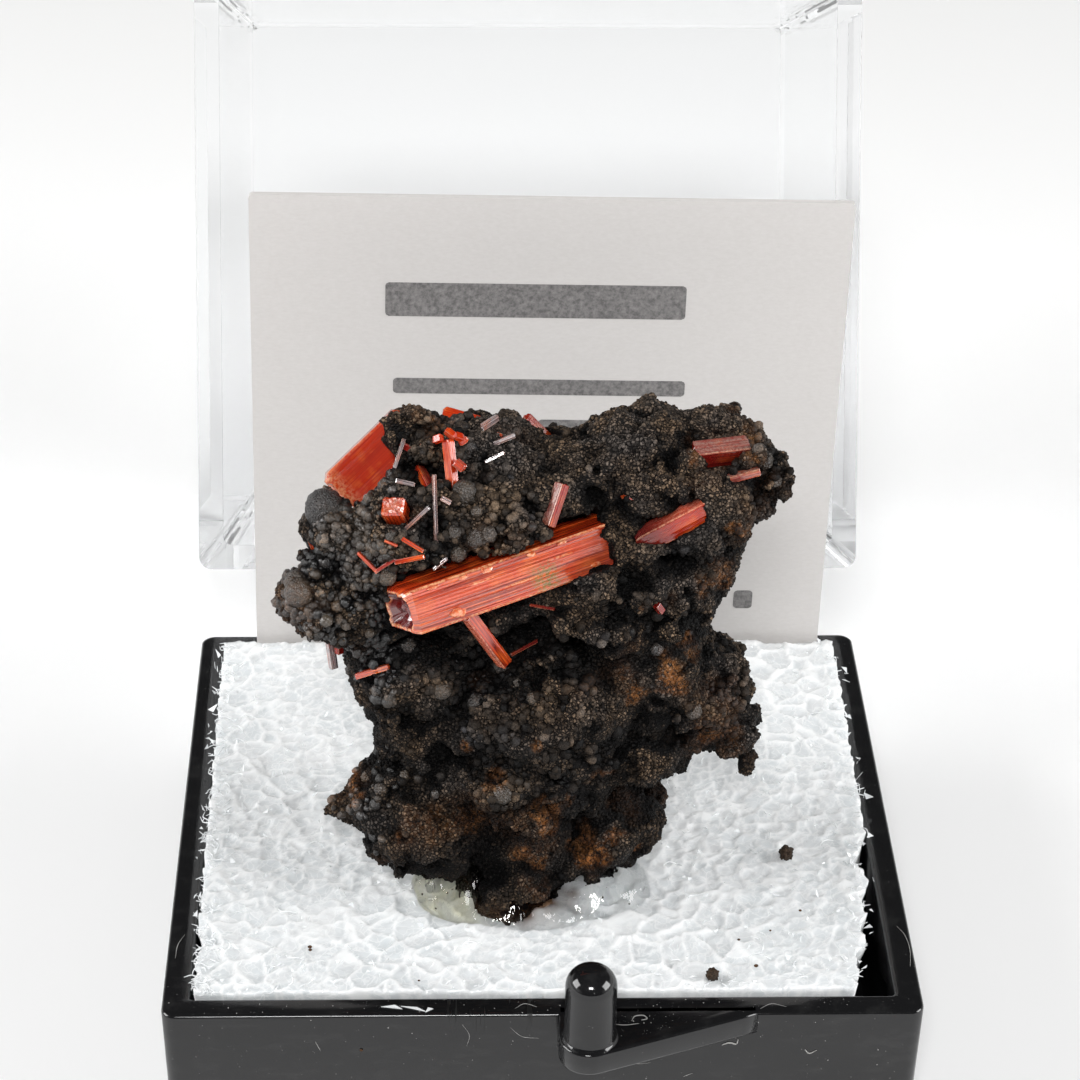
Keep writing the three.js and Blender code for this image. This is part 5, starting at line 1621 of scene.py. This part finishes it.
def make_stone():
    """The stone: its body from the field, two sizes of grains scattered over it, and
    the large balls, each pushed in and out by cell noise."""
    field = stone_field()
    points, quads = field.net()
    lift = np.array([0, 0, RIM])
    body = new_piece("matrix_stone", points + lift, [quads], STONE, "goethite", replaces=["matrix"])
    # Painted light and shade for the body, kept in its `light` values.
    open_sky = painted_light_and_shade(field, points, field.outward(points))
    wet = (1 - ease(points[:, 2], 0.6, 1.3)) * ease(-points[:, 1], 5.0, 6.5)
    set_values(body, rust=rust_at(points), sheen=0.7 * wet, light=1.05 * open_sky,
               grain=np.zeros(len(points)))

    fine = grains(points, quads, *FINE_GRAINS, clump_weight)
    round_ones = grains(points, quads, *SMALL_BALLS, heap_weight)
    for label, (places, sizes, turns, normals), (template, faces), gloss, spread in (
        ("fine_grains", fine, (ICO_POINTS, ICO_FACES), 0.0, 1.05),
        ("small_balls", round_ones, low_ball(), 0.7, 0.85),
    ):
        corners = len(template)
        for part, keep in enumerate(np.array_split(np.argsort(places[:, 0]), 4 if corners == 12 else 3)):
            made, made_faces = scattered(template, faces, places[keep], sizes[keep], turns[keep])
            finish = STONE_GLOSSY if gloss and part == 0 else STONE_GRAINS
            piece = new_piece(f"{label}_{part}", made + lift, [made_faces], finish, "goethite")
            own = np.random.default_rng(part).uniform(0, 1, (2, len(keep)))
            # Painted shade: each grain is darker on its side towards the stone and where its place is
            # painted dark, beside its own random tone.
            rise = ((made.reshape(-1, corners, 3) - places[keep][:, None]) * normals[keep][:, None]).sum(-1)
            painted_outer_light = ease(rise / sizes[keep].mean(-1)[:, None], -0.3, 0.8)
            open_sky = painted_light_and_shade(field, places[keep], normals[keep])
            light = (0.18 + spread * own[1] ** 2.8) * (0.05 + 0.95 * open_sky)
            set_values(piece, rust=rust_at(made), sheen=np.repeat(gloss * own[0] ** 3, corners),
                       light=(painted_outer_light * light[:, None]).ravel(), grain=np.ones(len(made)))

    shape, rust, light = Shape(), [], []
    for number, (x, height, radius, sheen) in enumerate(BALLS):
        centre = np.array([x, field.front(x, height) + radius * 0.2, height])
        coat = 0.05 + 0.05 * (1 - sheen)
        bumps = FINE_POINTS * radius
        cell, _, _, _ = cells(bumps / (0.17 + 0.1 * sheen) + number * 7.3, 90)
        push = 1 + coat / radius * (0.6 - cell) * (1 - sheen
                                                   * 0.8) + 0.06 * noise(FINE_POINTS * 1.5 + number, 91)
        shape.add(centre + lift + bumps * push[:, None], [FINE_FACES], 0.2 + 0.75 * sheen)
        rust.append(rust_at(centre[None] + bumps))
        # Painted light: each ball is paler on the side that faces the eye.
        light.append(ease(FINE_POINTS @ TO_EYE, -0.2, 0.9)
                     * (0.3 + 0.4 * lattice(np.array([number, 3, 3]), 92)))
    balls = shape.piece("botryoidal_balls", STONE_GLOSSY, "goethite", value_name="sheen")
    set_values(balls, rust=0.6 * np.concatenate(rust), light=np.concatenate(light),
               grain=np.full(shape.count, 0.5))
    return field


# ----------------------------------------------------------------------- glue


# The glue's pool and blobs as (centre, radii), and the box and step in mm that
# it is sampled in.
GLUE_LUMPS = [
    ((-0.6, -6.0, 0.3), (4.3, 3.0, 0.85)), ((-3.8, -6.7, 0.65), (1.75, 1.75, 1.45)),
    ((2.6, -6.4, 0.45), (2.2, 1.9, 1.2)), ((-0.4, -7.9, 0.3), (1.9, 0.9, 0.75)),
]
GLUE_BOX = (-7.5, -10.5, -1.2), (7.0, -1.0, 3.2)
GLUE_STEP = 0.13


def make_glue(stone):
    """Clear glue: a pool round the stone's foot with a thick blob on each side."""
    field = Field(*GLUE_BOX, GLUE_STEP)
    for centre, radii in GLUE_LUMPS:
        field.add(ellipsoid(centre, radii), centre, [max(radii) + 1] * 3, 0.6)
    near = np.abs(field.value) < 0.6
    at = np.argwhere(near) * field.step + field.low
    field.value[near] -= (0.20 * rough(at * 0.9, 2, 101)).astype(np.float32)
    points, quads = field.net()
    pool = new_piece("glue_pool", points + [0, 0, RIM], [quads], GLUE, "clear_glue", replaces=["glue"])
    away = np.hypot((points[:, 0] + 0.7) / 2.2, (points[:, 1] + 7.6)
                    / 1.35) + 0.3 * rough(points * 1.3, 2, 103)
    yellow = 1 - ease(points[:, 0] + 0.5 * rough(points, 2, 104), -3.4, -1.6)
    set_values(pool, brown=1 - ease(away, 0.7, 1.05), yellow=yellow)
    shape = Shape()
    rng = np.random.default_rng(17)
    for x in (*rng.normal(-4.0, 0.8, 6), *rng.normal(2.9, 1.0, 6)):
        place = np.array([x, rng.uniform(-8.3, -6.6), rng.uniform(0.6, 1.3)])
        shape.add(place + [0, 0, RIM] + SPECK_POINTS * rng.uniform(0.02, 0.06), [SPECK_FACES])
    specks = shape.piece("specks_in_glue", STONE, "goethite")
    set_values(specks, rust=np.full(shape.count, 0.2), sheen=np.zeros(shape.count),
               light=np.full(shape.count, 0.3),
               grain=np.ones(shape.count))


# ------------------------------------------------------- card, crumbs and dust


# Bars on the card: (x, height) of the middle, width and height of the bar.
CARD_BARS = [
    (-0.07, 19.5, 13.6, 1.7), (0.2, 15.06, 13.4, 0.8), (2.0, 13.0, 3.6, 0.7), (10.3, 3.6, 0.9, 1.0),
]

# The card leans to one side by this many degrees.
CARD_TURN = 0.85


def make_card():
    """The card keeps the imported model's shape; plain bars lie on its face, turned
    about its middle with it."""
    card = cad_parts["card"]
    card.data.materials.clear()
    card.data.materials.append(CARD)
    low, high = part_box("card")
    face_y = low.y / MM - 0.008
    shape = Shape()
    turn = math.radians(CARD_TURN)
    middle_x, middle_z = (low.x + high.x) / 2 / MM, (low.z + high.z) / 2 / MM
    for x, height, width, tall in CARD_BARS:
        ring = rounded_ring(width, 0.016, 0.004, 0, 4)
        rings = []
        for z, narrow in ((-tall / 2, 0.16), (-tall / 2 + 0.06, 0.04), (-tall / 2 + 0.15, 0.0),
                          (tall / 2 - 0.15, 0.0), (tall / 2 - 0.06, 0.04), (tall / 2, 0.16)):
            part = ring.copy()
            part[:, 0] -= np.sign(part[:, 0]) * narrow
            part[:, 2] = z
            rings.append(part)
        points, faces = lofted_rings(rings)
        points += [x, face_y, height + RIM]
        relative_x, relative_z = points[:, 0] - middle_x, points[:, 2] - middle_z
        points[:, 0] = middle_x + relative_x * math.cos(turn) + relative_z * math.sin(turn)
        points[:, 2] = middle_z - relative_x * math.sin(turn) + relative_z * math.cos(turn)
        shape.add(points, faces)
    shape.piece("card_print", INK, "card_stock", smooth=False)


# Crumbs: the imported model's node, and the radius in mm.
CRUMBS = [("crumb_right", 0.32), ("crumb_front", 0.26)]


def make_crumbs():
    """Loose crumbs of stone on the foam: balls pushed in and out by cell noise."""
    for number, (name, radius) in enumerate(CRUMBS):
        low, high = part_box(name)
        centre = np.array((low + high) / 2) / MM
        cell, _, _, _ = cells(FINE_POINTS * 1.6 + number * 5, 120 + number)
        push = radius * (1.25 - 0.55 * cell + 0.2 * noise(FINE_POINTS * 5, 7))
        points = centre + FINE_POINTS * push[:, None]
        piece = new_piece(f"{name}_stone", points, [FINE_FACES], STONE, "goethite", replaces=[name])
        # Painted light: the crumb is paler on the side that faces the eye.
        light = 0.22 * ease(FINE_POINTS @ TO_EYE, -0.5, 0.6)
        set_values(piece, rust=np.full(len(points), 0.06), sheen=np.zeros(len(points)), light=light,
                   grain=np.ones(len(points)))


# Threads that lie on the tray: (x, height) down its front wall, and their radius.
FRONT_HAIRS = [
    ([(7.45, -1.72), (7.75, -1.60), (8.05, -1.66), (8.12, -1.42)], 0.035),
    ([(10.95, -2.02), (11.15, -2.22), (11.45, -2.05)], 0.030),
    ([(-5.8, -3.6), (-5.5, -3.9), (-5.1, -3.8)], 0.012), ([(-9.5, -1.4), (-9.3, -1.9)], 0.012),
    ([(3.4, -2.6), (3.9, -2.75), (4.5, -2.7)], 0.012), ([(-3.4, -0.5), (-3.1, -1.1), (-3.2, -1.7)], 0.010),
    ([(-1.4, -0.7), (-0.9, -1.2), (-0.2, -1.3)], 0.010), ([(5.9, -3.5), (6.3, -3.3)], 0.012),
]
# Threads on level faces: (x, y) at the rim's height.
TOP_HAIRS = [
    ([(3.6, -14.75), (3.75, -14.45), (4.1, -14.4), (4.25, -14.6), (4.0, -14.7)], 0.018),
    ([(15.35, -8.6), (15.62, -9.2), (15.72, -10.2), (15.6, -11.3)], 0.012),
    ([(-15.2, -8.9), (-15.45, -9.6), (-15.5, -10.5)], 0.012),
    ([(9.0, -14.0), (9.5, -13.7), (10.1, -13.9)], 0.010),
    ([(-1.2, -13.9), (-0.8, -13.6), (-0.3, -13.8)], 0.012),
    ([(2.7, -14.9), (3.3, -15.0), (3.9, -14.9)], 0.015),
]


# How many places on the tray are drawn for specks of dust.
DUST_TRIES = 420

# Torn scraps of foam on the front rim: (x, y), length, width and turn.
SCRAPS = [(-6.3, -13.75, 0.9, 0.22, -12), (-5.4, -13.85, 1.1, 0.15, -20), (-4.8, -13.95, 0.4, 0.2, 30)]

# Grit: its middle and its size.
GRIT = [(-7.6, FRONT - 0.0, RIM - 1.87, 0.05), (-9.82, -10.2, RIM + 0.35, 0.07),
        (9.0, -11.69, RIM + 0.4, 0.07), (-9.8, -10.4, RIM + 0.35, 0.06), (8.4, -10.0, RIM + 0.45, 0.05),
        (9.8, -9.4, RIM + 0.45, 0.04), (-5.2, -12.4, RIM + 0.3, 0.04), (11.2, -8.1, RIM + 0.5, 0.05)]


def make_dust():
    """Dust on the tray: threads, specks on the front wall and the rim, and a torn
    scrap of foam on the front rim."""
    shape = Shape()
    for path, radius in FRONT_HAIRS:
        shape.add(*hair([(x, FRONT - h * DRAFT - radius * 0.8, RIM + h) for x, h in path], radius))
    for path, radius in TOP_HAIRS:
        shape.add(*hair([(x, y, RIM + radius * 0.8) for x, y in path], radius))
    rng = np.random.default_rng(41)
    count = DUST_TRIES
    x = rng.uniform(-15.4, 15.4, count)
    drop = rng.uniform(0.2, 6.8, count)
    front = np.stack([x, FRONT + drop * DRAFT, RIM - drop], -1)
    rim = np.stack([rng.uniform(-15.6, 15.6, count), rng.uniform(FRONT + 0.1, FRONT + 1.05, count),
                    np.full(count, RIM)], -1)
    ledge = np.stack([rng.uniform(1.0, 6.5, count), rng.uniform(FRONT - 1.8, FRONT, count),
                      np.full(count, RIM)], -1)
    ledge = ledge[ledge[:, 1] > FRONT - 1.9 + (ledge[:, 0] - 2.5).clip(0) * 0.38][:150]
    places = np.concatenate([front[:170], rim[:120], ledge[:90]])
    sizes = 0.009 + 0.026 * rng.uniform(0, 1, (len(places),
                                               1)) ** 4 * rng.uniform(0.7, 1.3, (len(places), 3))
    points, faces = scattered(OCTA_POINTS, OCTA_FACES, places, sizes, random_turns(rng, len(places)))
    shape.add(points, [faces])
    shape.piece("tray_dust", DUST, "foam", smooth=False)

    scraps = Shape()
    for x, y, long, wide, turn in SCRAPS:
        sizes = np.array([[long, wide, 0.03]])
        c, s = math.cos(math.radians(turn)), math.sin(math.radians(turn))
        turns = np.array([[[c, -s, 0], [s, c, 0], [0, 0, 1]]])
        points, faces = scattered(SHRED, SHRED_SIDES, np.array([[x, y, RIM + 0.03]]), sizes, turns)
        scraps.add(points, [faces])
    scraps.piece("foam_scrap", MEMBRANE, "foam", smooth=False)

    grit = Shape()
    for x, y, z, size in GRIT:
        grit.add(np.array([x, y, z]) + SPECK_POINTS * np.array([size * 1.4, size, size]), [SPECK_FACES])
    piece = grit.piece("grit", STONE, "goethite")
    set_values(piece, rust=np.full(grit.count, 0.4), sheen=np.zeros(grit.count),
               light=np.full(grit.count, 0.3),
               grain=np.ones(grit.count))


make_tray()
make_lid()
make_foam()
make_membranes()
make_crystals()
stone = make_stone()
make_hollow_reds(stone)
make_glue(stone)
make_card()
make_crumbs()
make_dust()


# ---------------------------------------------------------- camera and studio


# The camera: where it stands in mm, how it is turned in degrees, its sensor's
# width and lens in mm, and in metres how near it starts to see.
EYE = (-4.29, -117.70, 94.12)
YAW_PITCH_ROLL = (2.09, 31.70, 0.99)
SENSOR = 36
LENS = 107.65
NEAREST_SEEN = 0.005

# The lamps: name, place, width and height in mm, and power in watts.
SOFT_BOXES = [
    ("left_box", (-640, -20, 330), 420, 360, 4.9),
    ("right_box", (640, -150, 300), 420, 360, 4.9),
    ("front_box", (-40, -520, 480), 190, 130, 3.2),
]
LIT_POINT = (0, 0, 10)
FLOOR_REACH = 1500


def aim_camera():
    """In front of the box and above it: yaw to the right, pitch down, then roll."""
    yaw, pitch, roll = (math.radians(a) for a in YAW_PITCH_ROLL)
    forward = np.array([math.sin(yaw) * math.cos(pitch), math.cos(yaw) * math.cos(pitch), -math.sin(pitch)])
    level = np.array([math.cos(yaw), -math.sin(yaw), 0.0])
    upward = np.cross(level, forward)
    right = math.cos(roll) * level + math.sin(roll) * upward
    up = -math.sin(roll) * level + math.cos(roll) * upward
    data = bpy.data.cameras.new("camera")
    data.sensor_width = SENSOR
    data.lens = LENS
    data.clip_start = NEAREST_SEEN
    camera = bpy.data.objects.new("camera", data)
    placed = Matrix([[*row, e * MM] for row, e in zip(np.stack([right, up, -forward], 1), EYE)]
                    + [[0, 0, 0, 1]])
    camera.matrix_world = placed
    bpy.context.scene.collection.objects.link(camera)
    bpy.context.scene.camera = camera


def soft_box(name, place, target, width, height, power):
    """A flat soft light at place, turned to face target, in mm."""
    data = bpy.data.lights.new(name, "AREA")
    data.shape = "RECTANGLE"
    data.size, data.size_y = width * MM, height * MM
    data.energy = power
    light = bpy.data.objects.new(name, data)
    light.location = [c * MM for c in place]
    light.rotation_euler = (Vector(target) - Vector(place)).to_track_quat("-Z", "Y").to_euler()
    bpy.context.scene.collection.objects.link(light)


def make_studio():
    """A pale floor whose colour is darker towards the back, a painted shade, with a
    soft box on each side and a smaller one in front. The sky is dim, apart from a
    pale band low down and what clear pieces let through."""
    corners = FLOOR_REACH * np.array([[-1, -1, 0], [1, -1, 0], [1, 1, 0], [-1, 1, 0]], float)
    material, tree, shader = make_finish("floor", Roughness=0.8)
    # Painted shade: the floor's colour darkens towards the back.
    far = node(tree, "ShaderNodeSeparateXYZ", {0: millimetres(tree)}).outputs["Y"]
    pale = mix_colours(tree, steps(tree, far, -20.0, 120.0), (0.94, 0.94, 0.94), (0.80, 0.80, 0.794))
    tree.links.new(pale, shader.inputs["Base Color"])
    mesh = bpy.data.meshes.new("floor")
    mesh.from_pydata([tuple(c * MM) for c in corners], [], [(0, 1, 2, 3)])
    mesh.materials.append(material)
    floor = bpy.data.objects.new("floor", mesh)
    bpy.context.scene.collection.objects.link(floor)

    world = bpy.data.worlds.new("studio")
    world.use_nodes = True
    bpy.context.scene.world = world
    tree = world.node_tree
    parts = node(tree, "ShaderNodeSeparateXYZ", {0: node(tree, "ShaderNodeTexCoord").outputs["Generated"]})
    low_back = maths(tree, "MULTIPLY", steps(tree, parts.outputs["Z"], 0.36, 0.22),
                     steps(tree, parts.outputs["Y"], -0.75, -0.45))
    sky = tree.nodes["Background"]
    sky.inputs["Color"].default_value = (1.0, 1.0, 1.0, 1)
    through = node(tree, "ShaderNodeLightPath").outputs["Is Transmission Ray"]
    strength = maths(tree, "MAXIMUM", steps(tree, low_back, 0.0, 1.0, 0.06, 0.9),
                     maths(tree, "MULTIPLY", through, 0.9))
    tree.links.new(strength, sky.inputs["Strength"])
    for name, place, width, height, power in SOFT_BOXES:
        soft_box(name, place, LIT_POINT, width, height, power)

    view = bpy.context.scene.view_settings
    view.view_transform = "Standard"


aim_camera()
make_studio()
